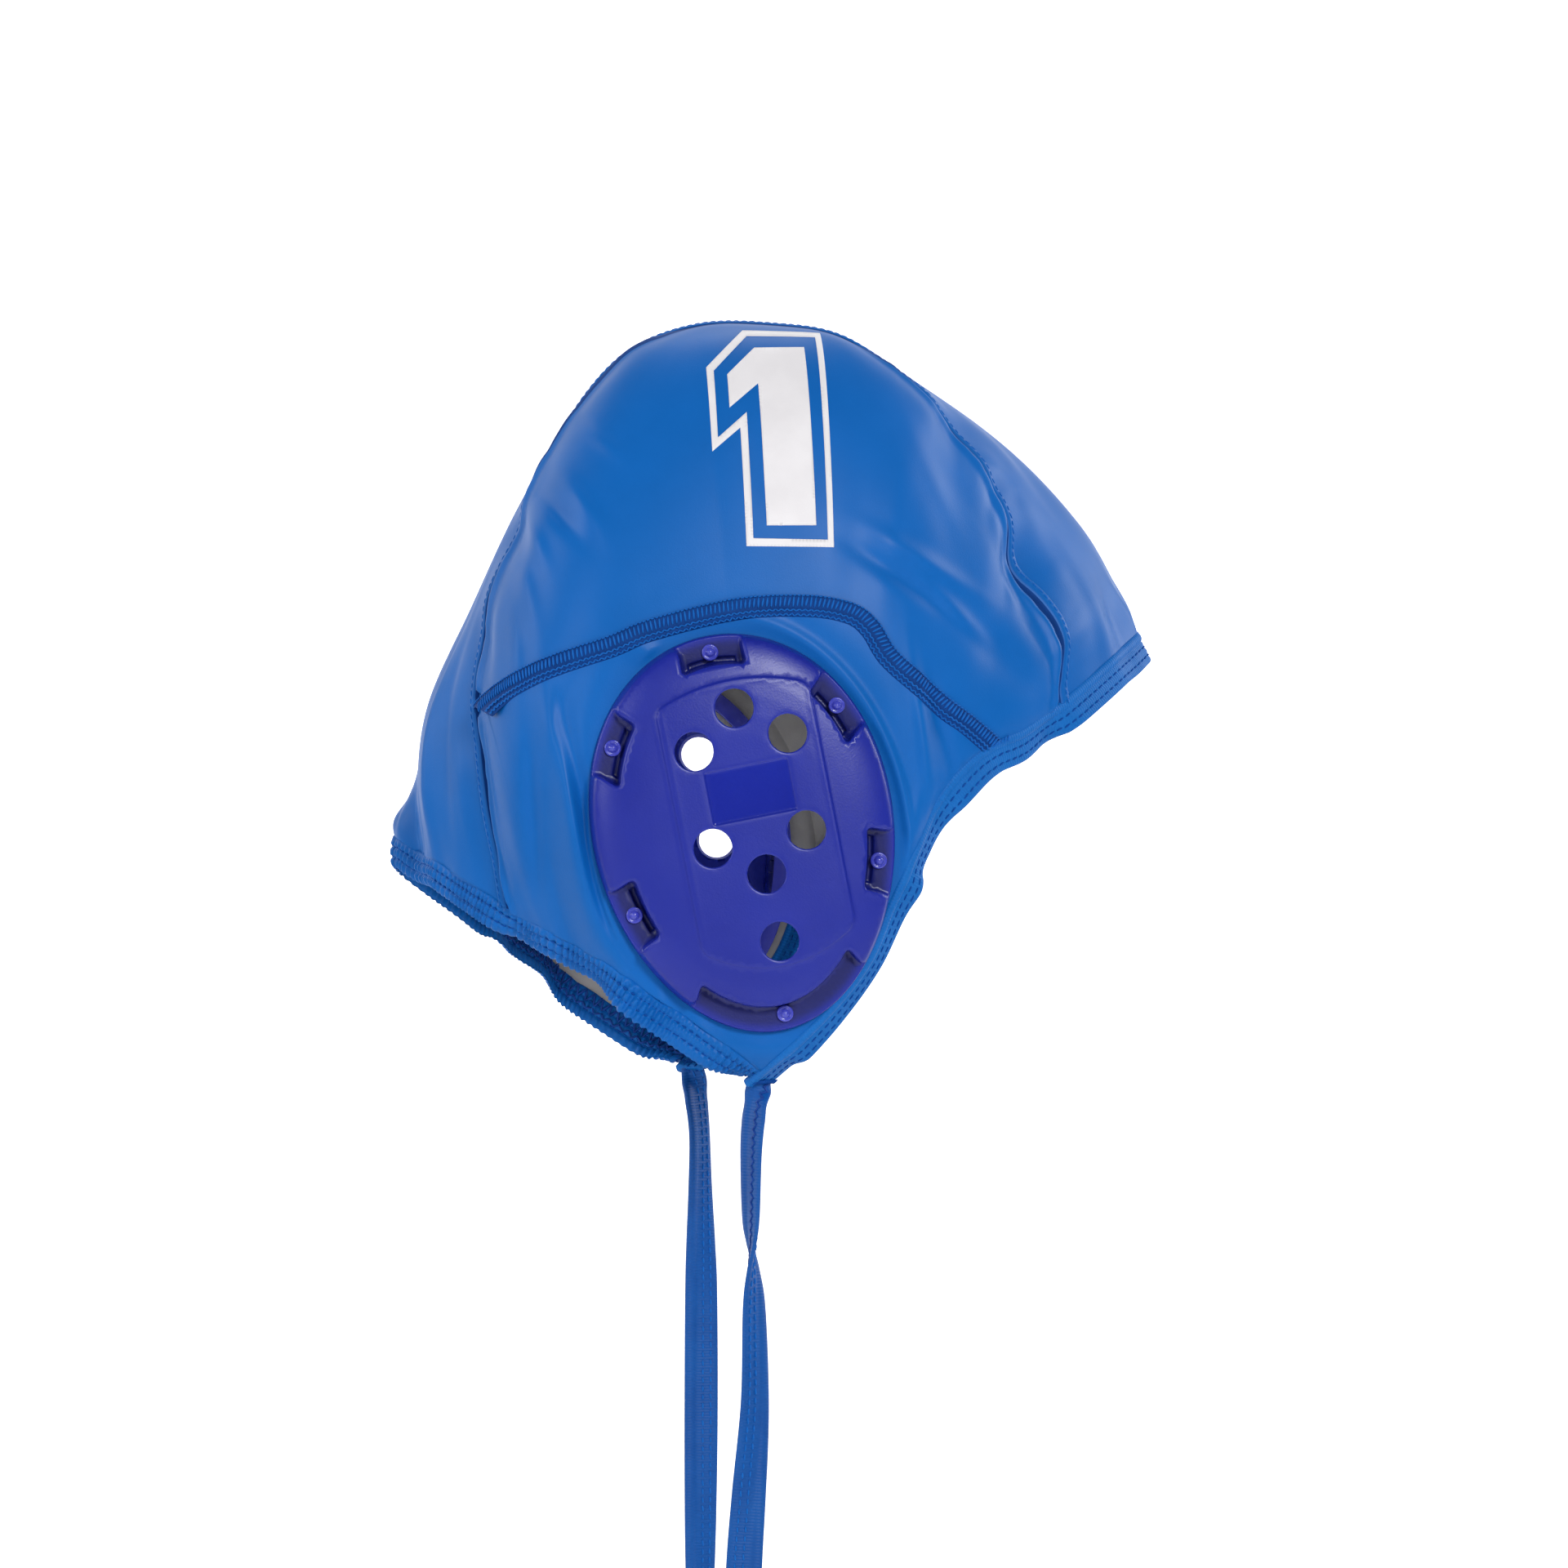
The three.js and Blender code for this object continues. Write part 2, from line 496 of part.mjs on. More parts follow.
function frontBinding(clearance = 0, extra = 0) {
  const path = runOn(frontPath, BINDING_RUN_ON + extra);
  return solidOf(band(path, BINDING_WIDTH + clearance, BINDING_THICKNESS + 2 * clearance, clearance));
}

// The gathered hem ends against the binding and leaves room for the ties.
function napeHem() {
  const hem = solidOf(band(hemPath, HEM_WIDTH, HEM_THICKNESS));
  return largest(hem.subtract(frontBinding(GAP, HEM_WIDTH)));
}

// A tie on the right: a flat tape that leaves the end of the binding, turns down and hangs.
function tie(rows) {
  const end = runOn(frontPath, BINDING_RUN_ON + GAP)[0];
  const start = end.middle.clone().addScaledVector(end.out, BINDING_WIDTH / 2);
  const line = new THREE.CatmullRomCurve3(rows.map(({ down, front, out }) => new THREE.Vector3(
    start.x + front * TIE_WIDTH, start.y - out * TIE_WIDTH, start.z - down * TIE_LENGTH,
  )), false, "catmullrom", 0.5);
  const turns = new THREE.CatmullRomCurve3(rows.map(({ turn }) => new THREE.Vector3(
    THREE.MathUtils.degToRad(turn), 0, 0)), false, "catmullrom", 0.5);
  const wide = TIE_WIDTH / 2;
  const thick = TIE_THICKNESS / 2;
  const corner = thick / 2;
  const section = [
    [-wide, -corner], [corner - wide, -thick], [wide - corner, -thick],
    [wide, corner], [wide - corner, thick], [corner - wide, thick],
  ];
  return solidOf(loft(grid(0, 1, TIE_STEPS).map((share) => {
    const turn = turns.getPoint(share).x;
    const hanging = smooth(0, 0.08, share);
    const broad = end.out.clone().multiplyScalar(1 - hanging)
      .add(new THREE.Vector3(Math.cos(turn), -Math.sin(turn), 0).multiplyScalar(hanging)).normalize();
    const along = end.along.clone().negate().multiplyScalar(1 - hanging)
      .addScaledVector(line.getTangent(share), hanging).normalize();
    broad.addScaledVector(along, -broad.dot(along)).normalize();
    const face = broad.clone().cross(along).normalize();
    const middle = line.getPoint(share);
    return section.map(([reach, height]) =>
      middle.clone().addScaledVector(broad, reach).addScaledVector(face, height));
  })));
}

// Side cloth, parted along the flatlock seam into the number panel above and the ear panel below
const guardTop = GUARD_MIDDLE.z * CAP_HEIGHT + GUARD_LENGTH / 2;
const flatlockLine = FLATLOCK.map(([x, up]) => new THREE.Vector2(x * CAP_LENGTH, guardTop + up * CAP_HEIGHT));
function sideLayer(low, high) {
  return solidOf(slab(sidePoint, sideNormal, sideGrid, downGrid, low, high));
}

const pinAngles = [...POCKETS_AT, LONG_POCKET.pin].map(THREE.MathUtils.degToRad);
const pinPlaces = pinAngles.map((angle) => insetOutline(angle, PIN_INSET));
const roundOutline = (inset) =>
  grid(0, 2 * Math.PI, GUARD_SIDES).slice(1).map((angle) => insetOutline(angle, inset));

function sidePanels() {
  const parting = sidePrism(ribbonOutline(flatlockLine, GAP, CAP_LENGTH));
  const earHole = guardPrism(roundOutline(BACKING_RIM + BACKING_WIDTH), -HALF_WIDTH / 2, GUARD_RISE);
  const clamp = guardPrism(roundOutline(BACKING_RIM - GAP), -CLOTH - 2 * BACKING_THICKNESS, -CLOTH);
  let cloth = sideLayer(-CLOTH, 0).subtract(parting).subtract(earHole).subtract(clamp);
  pinPlaces.forEach((place) => {
    cloth = cloth.subtract(guardCylinder(place, PIN_RADIUS + GAP, -HALF_WIDTH / 4, GUARD_RISE));
  });
  const [one, two] = cloth.decompose().sort((a, b) => b.volume() - a.volume());
  const height = (solid) => solid.boundingBox().max[2];
  return height(one) > height(two) ? [one, two] : [two, one];
}

function crownPanel() {
  return solidOf(slab(crownPoint, crownNormal, [0, ...sideGrid, LAST], crownGrid, -CLOTH, 0));
}

// The stitched-down edge of the crown panel beside its seam, on the right (-1) or the left (1)
function crownSeam(side) {
  const rows = (station) => {
    const half = seamAt(station).y;
    return [side * (half - SEAM_GAP) / half, side * (half - SEAM_GAP - CROWN_SEAM_WIDTH) / half];
  };
  const low = 2 * GAP;
  const high = low + CROWN_SEAM_RISE;
  const rings = sideGrid.map((station) => {
    const [edge, inner] = rows(station);
    return [[edge, low], [inner, low], [inner, high], [edge, high]].map(
      ([across, height]) => crownPoint(station, across).addScaledVector(crownNormal(station, across), height));
  });
  return solidOf(loft(rings));
}

function flatlockSeam() {
  const strip = sidePrism(ribbonOutline(flatlockLine, FLATLOCK_WIDTH, 0));
  return largest(sideLayer(2 * GAP, 2 * GAP + FLATLOCK_RISE).intersect(strip));
}

// A printed figure on the number panel, the right way round on either side of the cap
function numberPrint(outline, hole, reversed) {
  const place = (points) => points.map(([across, up]) => {
    const middle = (DIGIT[1][0] + DIGIT[0][0]) / 2;
    const turned = reversed ? 2 * middle - across : across;
    return new THREE.Vector2(
      DIGIT_FOOT.x * CAP_LENGTH + turned * NUMBER_HEIGHT,
      DIGIT_FOOT.z * CAP_HEIGHT + up * NUMBER_HEIGHT,
    );
  });
  const print = sideLayer(GAP, GAP + NUMBER_RISE).intersect(sidePrism(place(outline)));
  return largest(hole ? print.subtract(sidePrism(place(hole))) : print);
}

// Profile of the guard's dome from rim to middle, as [share of the outline, share of its rise]
const DOME = [[1, 0.16], [0.97, 0.46], [0.87, 0.78], [0.6, 1]];

function guardRings(profile) {
  return loft(profile.map(([share, height]) => grid(0, 2 * Math.PI, GUARD_SIDES).slice(1).map((angle) => {
    const place = guardOutline(angle, share);
    return new THREE.Vector3(place.x, place.y, height).applyMatrix4(guardFrame);
  })));
}

function dome(raise = 0) {
  return solidOf(guardRings([[1, GAP], ...DOME.map(([share, height]) => [share, height * GUARD_RISE + raise])]));
}

function domeShell() {
  const wall = (2 * GUARD_WALL) / GUARD_WIDTH;
  const ceiling = DOME.slice(1).reverse().map(([share, height]) => [share * (1 - wall), height * GUARD_RISE - GUARD_WALL]);
  const outside = DOME.map(([share, height]) => [share, height * GUARD_RISE]);
  return solidOf(guardRings([...ceiling, [(1 - wall) * DOME[1][0], GAP], [1, GAP], ...outside]));
}

// A block at the guard's rim, square to the outline, between two depths from the rim
function rimBlock(angle, from, to, halfLength, low, high) {
  const rim = guardOutline(angle);
  const ahead = guardOutline(angle + 0.01).sub(rim).normalize();
  const inward = new THREE.Vector2(-ahead.y, ahead.x);
  const corner = (depth, side) => rim.clone().addScaledVector(inward, depth).addScaledVector(ahead, side * halfLength);
  return guardPrism([corner(from, -1), corner(from, 1), corner(to, 1), corner(to, -1)], low, high);
}

// A block along the foot of the guard, as a crescent between the rim and a share of the outline
function crescent(inner, spread, low, high) {
  const from = THREE.MathUtils.degToRad(LONG_POCKET.from - spread);
  const to = THREE.MathUtils.degToRad(LONG_POCKET.to + spread);
  const steps = Math.round(GUARD_SIDES / 3);
  const outer = grid(from, to, steps).map((angle) => guardOutline(angle, 1.1));
  const back = grid(to, from, steps).map((angle) => guardOutline(angle, inner));
  return guardPrism([...outer, ...back], low, high);
}

const onGuard = (across, along) => new THREE.Vector2((across * GUARD_WIDTH) / 2, (along * GUARD_LENGTH) / 2);

// The raised middle of the guard: straight sides, bowed head and foot
function plateau() {
  const bowed = (height, bow, from, to) => grid(from, to, 4).map((side) =>
    onGuard(GUARD_AXIS + side * PLATEAU.half, height + bow * (1 - side * side)));
  const outline = [...bowed(PLATEAU.top, PLATEAU.topBow, -1, 1), ...bowed(PLATEAU.foot, -PLATEAU.footBow, 1, -1)];
  return guardPrism(outline, GUARD_RISE * 0.85, 2 * GUARD_RISE).intersect(dome(PLATEAU_RISE));
}

function labelRecess() {
  const middle = onGuard(GUARD_AXIS, LABEL_AT);
  const corners = [[-1, -1], [1, -1], [1, 1], [-1, 1]].map(([across, along]) =>
    middle.clone().add(new THREE.Vector2((across * LABEL_LENGTH) / 2, (along * LABEL_WIDTH) / 2)));
  return guardPrism(corners, GUARD_RISE + PLATEAU_RISE - LABEL_DEPTH, 2 * GUARD_RISE);
}

function earGuard() {
  const filled = dome();
  const top = 2 * GUARD_RISE;
  const half = POCKET_LENGTH / 2;
  const angles = POCKETS_AT.map(THREE.MathUtils.degToRad);
  let guard = domeShell().add(crescent(LONG_POCKET.inner - 0.04, 3, 0, top).intersect(filled)).add(plateau());
  angles.forEach((angle) => {
    const walls = rimBlock(angle, -POCKET_WALL, POCKET_DEPTH + POCKET_WALL, half + POCKET_WALL, 0, top);
    guard = guard.add(walls.intersect(filled));
  });
  angles.forEach((angle) => {
    guard = guard.subtract(rimBlock(angle, -POCKET_LENGTH, POCKET_DEPTH, half, POCKET_FLOOR, top));
    guard = guard.subtract(rimBlock(angle, POCKET_DEPTH - SLOT_WIDTH, POCKET_DEPTH, half - POCKET_WALL, -GUARD_RISE, top));
  });
  guard = guard.subtract(crescent(LONG_POCKET.inner, 0, POCKET_FLOOR, top)).subtract(labelRecess());
  HOLES.forEach(([side, along]) => {
    const place = onGuard(GUARD_AXIS + side * HOLE_SPREAD, along);
    guard = guard.subtract(guardCylinder(place, HOLE_RADIUS, -GUARD_RISE, top));
  });
  pinPlaces.forEach((place) => {
    guard = guard.subtract(guardCylinder(place, PIN_RADIUS + GAP, -GUARD_RISE, top));
  });
  return largest(guard);
}

// The ring inside the cloth that clamps it against the guard, with pins through cloth and guard
function guardBacking() {
  const high = -CLOTH - GAP;
  const low = high - BACKING_THICKNESS;
  const opening = guardPrism(roundOutline(BACKING_RIM + BACKING_WIDTH), low - 1, high + 1);
  let ring = guardPrism(roundOutline(BACKING_RIM), low, high).subtract(opening);
  const neck = POCKET_FLOOR + GAP;
  pinPlaces.forEach((place) => {
    ring = ring.add(guardCylinder(place, PIN_RADIUS, low + GAP, neck + GAP));
    ring = ring.add(guardCylinder(place, PIN_HEAD_RADIUS, neck, neck + PIN_HEAD_RISE, PIN_HEAD_RADIUS / 2));
  });
  return ring;
}

const material = (color, roughness) => new THREE.MeshStandardMaterial({ color, roughness, metalness: 0 });
const cloth = material(0x2f6fc8, 0.55);
const tape = material(0x1f74cc, 0.5);
const thread = material(0x1e5cb8, 0.7);
const plastic = material(0x2d2da8, 0.35);
const print = material(0xe6e4e8, 0.6);

const cap = new THREE.Group();

// Adds a solid as a piece of its own, turned to the left side where asked, with the left ear's sway.
function addPiece(name, solid, finish, left = false) {
  const plain = solid.asOriginal().simplify(FLATNESS);
  const geometry = geometryOf(left ? plain.mirror([0, 1, 0]) : plain);
  const places = geometry.getAttribute("position");
  for (let i = 0; i < places.count; i++) {
    const point = swayed(new THREE.Vector3().fromBufferAttribute(places, i));
    places.setXYZ(i, point.x, point.y, point.z);
  }
  geometry.computeVertexNormals();
  const mesh = new THREE.Mesh(geometry, finish);
  mesh.name = name;
  cap.add(mesh);
}

// The same solid on the right side and, mirrored, on the left
function addPair(name, solid, finish) {
  addPiece(`${name}_right`, solid, finish);
  addPiece(`${name}_left`, solid, finish, true);
}

const [numberPanel, earPanel] = sidePanels();
addPiece("crown_panel", crownPanel(), cloth);
addPair("number_panel", numberPanel, cloth);
addPair("ear_panel", earPanel, cloth);
addPiece("crown_seam_right", crownSeam(-1), cloth);
addPiece("crown_seam_left", crownSeam(1), cloth);
addPair("flatlock_seam", flatlockSeam(), thread);
addPiece("front_binding", frontBinding(), tape);
addPiece("nape_hem", napeHem(), cloth);
addPair("ear_guard", earGuard(), plastic);
addPair("guard_backing", guardBacking(), plastic);
addPiece("tie_right", tie(TIE_RIGHT), tape);
addPiece("tie_left", tie(TIE_LEFT), tape, true);
[false, true].forEach((left) => {
  const side = left ? "left" : "right";
  addPiece(`digit_${side}`, numberPrint(DIGIT, null, left), print, left);
  addPiece(`digit_rim_${side}`, numberPrint(DIGIT_RIM_OUTER, DIGIT_RIM_INNER, left), print, left);
});

export default cap;
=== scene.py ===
"""Looks of a water polo cap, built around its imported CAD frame.

The cap hangs in its worn form: cloth panels, a plastic guard over each ear, a taped front edge that runs on
into two ties, and a gathered elastic hem round the nape. Lengths in the tables are millimetres, +X to the
wearer's front, -Y to the wearer's right and +Z up. Meshes are written in metres.
"""
import functools
import logging
import math
from dataclasses import dataclass, field
from enum import Enum

import bmesh
import bpy
import numpy as np
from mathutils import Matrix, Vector
from mathutils.geometry import delaunay_2d_cdt


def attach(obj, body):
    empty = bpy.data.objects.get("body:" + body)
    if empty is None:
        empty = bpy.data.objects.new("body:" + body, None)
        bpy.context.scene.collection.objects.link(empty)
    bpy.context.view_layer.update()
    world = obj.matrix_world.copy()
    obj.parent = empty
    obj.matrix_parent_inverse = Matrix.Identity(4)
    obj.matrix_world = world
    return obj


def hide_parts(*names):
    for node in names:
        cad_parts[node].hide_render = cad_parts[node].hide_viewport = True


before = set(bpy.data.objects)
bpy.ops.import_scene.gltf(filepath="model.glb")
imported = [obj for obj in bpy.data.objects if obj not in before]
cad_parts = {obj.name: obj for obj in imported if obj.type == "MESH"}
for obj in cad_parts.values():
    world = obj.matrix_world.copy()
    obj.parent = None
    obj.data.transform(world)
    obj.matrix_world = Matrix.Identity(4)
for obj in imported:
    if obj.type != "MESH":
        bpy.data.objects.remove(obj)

Array = np.ndarray
MM = 0.001
log = logging.getLogger("cap")

CAP_LENGTH = 230.0
CAP_HEIGHT = 232.0
HALF_WIDTH = 80.0
CLOTH = 1.6
SEAM_GAP = 0.6


class Side(Enum):
    """The wearer's sides; the value is the sign of Y."""

    RIGHT = -1
    LEFT = 1

    @property
    def word(self) -> str:
        """The side's name in lower case, as the piece names use it."""
        return self.name.lower()


class EdgeName(Enum):
    """The two edges of the cap that a band follows."""

    FRONT = 0
    NAPE = 1


@dataclass(frozen=True)
class Fold:
    """A soft fold of the side cloth.

    x and z are its middle, long and across its half sizes, all in millimetres; turn is its lean from upright
    in degrees, and depth how far it stands out, inwards where negative.
    """

    x: float
    z: float
    turn: float
    long: float
    across: float
    depth: float


@dataclass(frozen=True)
class CrownFold:
    """A fold of the crown panel.

    station and long are its middle and half size in stations, across and wide the same in shares of the half
    width, and depth how far it stands out in millimetres.
    """

    station: float
    long: float
    across: float
    wide: float
    depth: float


# Columns: seam x, z, y; ridge x, z; hem x, z, y; wide, down, round, curl. The CAD's walls have the same rows
STATIONS: Array = np.array([
    [0.362, -0.507, 0.588, 0.496, -0.397, 0.362, -0.507, 0.588, 0.59, 0.97, 0.8, -6],
    [0.36, -0.464, 0.588, 0.479, -0.355, 0.315, -0.539, 0.7, 0.7, 0.97, 0.8, -18],
    [0.352, -0.419, 0.588, 0.457, -0.308, 0.272, -0.558, 0.775, 0.78, 0.97, 0.8, -30],
    [0.308, -0.334, 0.575, 0.42, -0.254, 0.236, -0.585, 0.825, 0.84, 0.95, 0.75, -36],
    [0.283, -0.247, 0.55, 0.356, -0.185, 0.201, -0.626, 0.863, 0.89, 0.9, 0.7, -22],
    [0.237, -0.17, 0.525, 0.285, -0.127, 0.171, -0.689, 0.863, 0.93, 0.8, 0.62, 10],
    [0.175, -0.097, 0.5, 0.2, -0.073, 0.139, -0.752, 0.84, 0.97, 0.62, 0.56, 45],
    [0.092, -0.037, 0.475, 0.104, -0.016, 0.108, -0.826, 0.815, 0.99, 0.5, 0.52, 56],
    [-0.002, -0.021, 0.463, 0.008, -0.002, 0.057, -0.89, 0.785, 1, 0.45, 0.5, 48],
    [-0.097, -0.024, 0.45, -0.085, -0.003, -0.02, -0.964, 0.74, 1, 0.42, 0.5, 30],
    [-0.185, -0.061, 0.43, -0.176, -0.04, -0.104, -0.905, 0.78, 0.99, 0.42, 0.52, 0],
    [-0.255, -0.144, 0.42, -0.248, -0.124, -0.179, -0.857, 0.79, 0.97, 0.42, 0.55, 0],
    [-0.314, -0.259, 0.43, -0.317, -0.241, -0.229, -0.822, 0.762, 0.92, 0.45, 0.6, 0],
    [-0.357, -0.383, 0.45, -0.375, -0.366, -0.267, -0.799, 0.7, 0.83, 0.5, 0.65, 0],
    [-0.368, -0.509, 0.48, -0.43, -0.492, -0.293, -0.786, 0.637, 0.73, 0.55, 0.7, 0],
    [-0.355, -0.63, 0.51, -0.441, -0.597, -0.307, -0.778, 0.575, 0.63, 0.6, 0.75, 0],
    [-0.328, -0.763, 0.525, -0.43, -0.692, -0.328, -0.763, 0.525, 0.53, 0.6, 0.75, 0],
])
LAST = len(STATIONS) - 1
TIP = 9

# The flatlock seam over the ear. Columns: x as a share of the cap's length, height over the guard's upper
# end as a share of the cap's height
FLATLOCK: Array = np.array([
    [-0.36, -0.09], [-0.343, -0.071], [-0.31, -0.053], [-0.268, -0.037], [-0.211, -0.019], [-0.159, 0.002],
    [-0.058, 0.027], [0.029, 0.032], [0.083, 0.024], [0.109, 0.006], [0.132, -0.029], [0.168, -0.06],
    [0.207, -0.091], [0.235, -0.109], [0.267, -0.132], [0.281, -0.143],
])

# The crown seam's small wander: station, forward shift in millimetres
SEAM_WANDER: tuple[tuple[float, float], ...] = (
    (0, 0), (0.45, -0.5), (1.05, 0.9), (1.8, 2.4), (2.25, 2.5), (2.6, 1.2), (2.9, -1.8), (3.15, -2.1),
    (3.6, 1), (3.95, 0.9), (4.2, 0.1), (4.45, 1.6), (4.75, 1.3), (5.1, 0.1), (5.4, 0.4), (5.75, 1.6),
    (6.1, 1), (6.6, 0), (11.6, 0), (11.87, -0.8), (12.25, 3.2), (12.6, 0.6), (12.9, -0.6), (13.3, 1.2),
    (13.65, 0), (14, -0.3), (14.35, 0.8), (15, 0.4), (15.6, 0.7), (16, 0),
)

# Folds that the CAD's walls have too. Columns: x, z, turn, long, across, depth
SIDE_FOLDS: tuple[Fold, ...] = tuple(Fold(*row) for row in (
    (54.1, -69.6, 14, 39.4, 7, -1.76),
    (41.4, -55.7, 14, 39.4, 7, 1.12),
    (64.4, -102.1, 48, 16.2, 5.8, -1.6),
    (-69, -67.3, -24, 11.6, 4.6, 2.08),
    (-63.3, -143.8, 8, 32.5, 5.1, 1.6),
))

# Creases too small for the CAD's walls, with the same columns
SOFT_FOLDS: tuple[Fold, ...] = tuple(Fold(*row) for row in (
    (37, -84, 58, 16, 2.6, -1.3),
    (42, -77, 62, 15, 2.6, 1.2),
    (52, -92, 50, 10, 2.4, 1.1),
    (34, -62, -10, 22, 4.5, 0.5),
    (22, -70, -4, 26, 6, -0.5),
    (46, -52, 24, 18, 3.2, 0.4),
    (54.1, -69.6, 14, 39.4, 7, 0.9),
    (41.4, -55.7, 14, 39.4, 7, -0.5),
    (-57, -34, 42, 8, 1.8, -1.6),
    (-52, -40, 40, 9, 2.4, 1.1),
    (-64, -62, 35, 10, 2.2, -1.8),
    (-58, -58, 30, 12, 2.8, 1.4),
    (-70, -70, 20, 9, 2.2, 1.2),
    (-73, -82, 12, 13, 2.4, 1.2),
    (-75.5, -104, 2, 12, 2.2, 1.1),
    (-70, -150, 4, 22, 2.2, -1.4),
    (-60, -150, 10, 24, 2.8, 2.0),
    (-54, -158, 12, 26, 2.6, -2.2),
    (-47, -166, 20, 18, 2.6, 1.1),
    (-66, -128, 6, 10, 2.4, 1.0),
    (-38, -181, 38, 13, 2.0, -1.1),
    (-31, -188, 44, 12, 2.0, 1.0),
    (-24, -197, 52, 12, 1.8, -0.9),
    (-14, -206, 58, 9, 1.8, 0.8),
    (41.5, -131, 8, 24, 2.4, 1.2),
    (47, -128, 16, 20, 2.8, -1.1),
    (38, -162, -6, 18, 2.0, 0.9),
    (-36, -106, 60, 12, 3.0, 0.7),
    (-6, -50, 20, 14, 5, -0.6),
))

# Folds of the crown panel, most of them by its two ends. Columns: station, long, across, wide, depth
CROWN_FOLDS: tuple[CrownFold, ...] = tuple(CrownFold(*row) for row in (
    (16, 0.85, 0.47, 0.3, 20.8),
    (15.8, 1.6, -0.3, 0.25, 2.4),
    (1.6, 0.9, -0.35, 0.25, -1.6),
    (1.0, 1.3, -0.66, 0.06, 2.4),
    (0.8, 1.0, -0.5, 0.06, -1.9),
    (0.7, 1.1, -0.32, 0.06, 2.1),
    (0.5, 0.8, -0.15, 0.06, -1.6),
    (0.7, 1.0, 0.05, 0.07, 1.8),
    (0.4, 0.6, 0.3, 0.06, -1.2),
    (2.4, 0.6, -0.72, 0.1, -1.6),
    (3.6, 1.0, -0.5, 0.14, -1.4),
    (3.2, 0.8, -0.78, 0.08, 1.3),
    (4.6, 0.7, -0.6, 0.12, 1.0),
    (14.6, 1.1, -0.62, 0.07, -1.9),
    (14.9, 1.2, -0.42, 0.06, 2.1),
    (15.2, 1.0, -0.8, 0.05, 1.4),
    (15.6, 0.6, -0.2, 0.05, -1.7),
    (15.6, 0.5, 0.12, 0.05, -1.6),
    (13.4, 0.8, -0.3, 0.12, -1.3),
    (12.4, 0.7, -0.55, 0.1, 1.0),
    (15.7, 0.5, 0.33, 0.04, -1.6),
))


def smooth(low: float, high: float, value: Array) -> Array:
    """Smoothstep of value between two limits."""
    t = np.clip((np.asarray(value, float) - low) / (high - low), 0, 1)
    return t * t * (3 - 2 * t)


def unit(vectors: Array) -> Array:
    """The vectors at length one."""
    return vectors / np.maximum(np.linalg.norm(vectors, axis=-1, keepdims=True), 1e-12)


def bell(value: Array, width: float) -> Array:
    """A bell curve of height one about zero."""
    return np.exp(-((value / width) ** 2))


def running(points: Array) -> Array:
    """The running length at each point of a line."""
    return np.concatenate([[0], np.cumsum(np.linalg.norm(np.diff(points, axis=0), axis=1))])


def resampled(rows: Array, run: Array, even: Array) -> Array:
    """Rows, given at places of a running length, at even places of it."""
    return np.stack([np.interp(even, run, column) for column in rows.reshape(len(rows), -1).T], -1)


def relaxed(rows: Array, reach: int) -> Array:
    """Rows averaged with their neighbours up to a number of rows away."""
    window = np.hanning(2 * reach + 1)
    window /= window.sum()
    padded = np.pad(rows, ((reach, reach), (0, 0)), mode="edge")
    return np.stack([np.convolve(column, window, mode="valid") for column in padded.T], -1)


def spline(rows: Array, at: Array) -> Array:
    """Uniform Catmull-Rom curve through rows, as the CAD's curves are.

    Args:
        rows: One row per knot.
        at: Places along it, from 0 to the number of knots less one.

    Returns:
        One interpolated row for each place.
    """
    at = np.clip(np.asarray(at, float), 0, len(rows) - 1)
    k = np.minimum(at.astype(int), len(rows) - 2)
    w = (at - k)[..., None]
    ends = np.vstack([2 * rows[0] - rows[1], rows, 2 * rows[-1] - rows[-2]])
    a, b, c, d = (ends[k + i] for i in range(4))
    return b + 0.5 * w * (c - a + w * (2 * a - 5 * b + 4 * c - d + w * (3 * (b - c) + d - a)))


class GuardShape:
    """The ear guard's outline and its own frame on the right side of the cap."""

    length: float = 114.4
    width: float = 86.0
    egg: float = 0.07
    tilt: float = math.radians(11.4)
    lean: float = 0.07
    middle: Array = np.array([-0.045 * CAP_LENGTH, -0.94 * HALF_WIDTH, -0.671 * CAP_HEIGHT])

    def __init__(self) -> None:
        """Works out the frame's three directions."""
        self.out = unit(np.array([0, -1, -self.lean]))
        along = np.array([-math.sin(self.tilt), 0, math.cos(self.tilt)])
        self.along = unit(along - self.out * (along @ self.out))
        self.across = np.cross(self.along, self.out)

    def outline(self, angle: Array, share: Array = 1.0) -> Array:
        """Points of the egg-shaped outline.

        Args:
            angle: Angles round it in radians, from the front upwards.
            share: Share of the full size.

        Returns:
            Places across and along the guard.
        """
        across = self.width / 2 * np.cos(angle) * (1 + self.egg * np.sin(angle))
        along = self.length / 2 * np.sin(angle)
        return np.stack([across * share, along * share], -1)

    def place(self, local: Array) -> Array:
        """Points across, along and out of the guard as points of the cap's right side."""
        axes = np.stack([self.across, self.along, self.out])
        return self.middle + local @ axes

    def share(self, x: Array, z: Array) -> Array:
        """How far places of the side lie from the guard's middle, as a share of its outline."""
        dx, dz = x - self.middle[0], z - self.middle[2]
        across = dx * math.cos(self.tilt) + dz * math.sin(self.tilt)
        along = dz * math.cos(self.tilt) - dx * math.sin(self.tilt)
        return np.hypot(across / (self.width / 2), along / (self.length / 2))


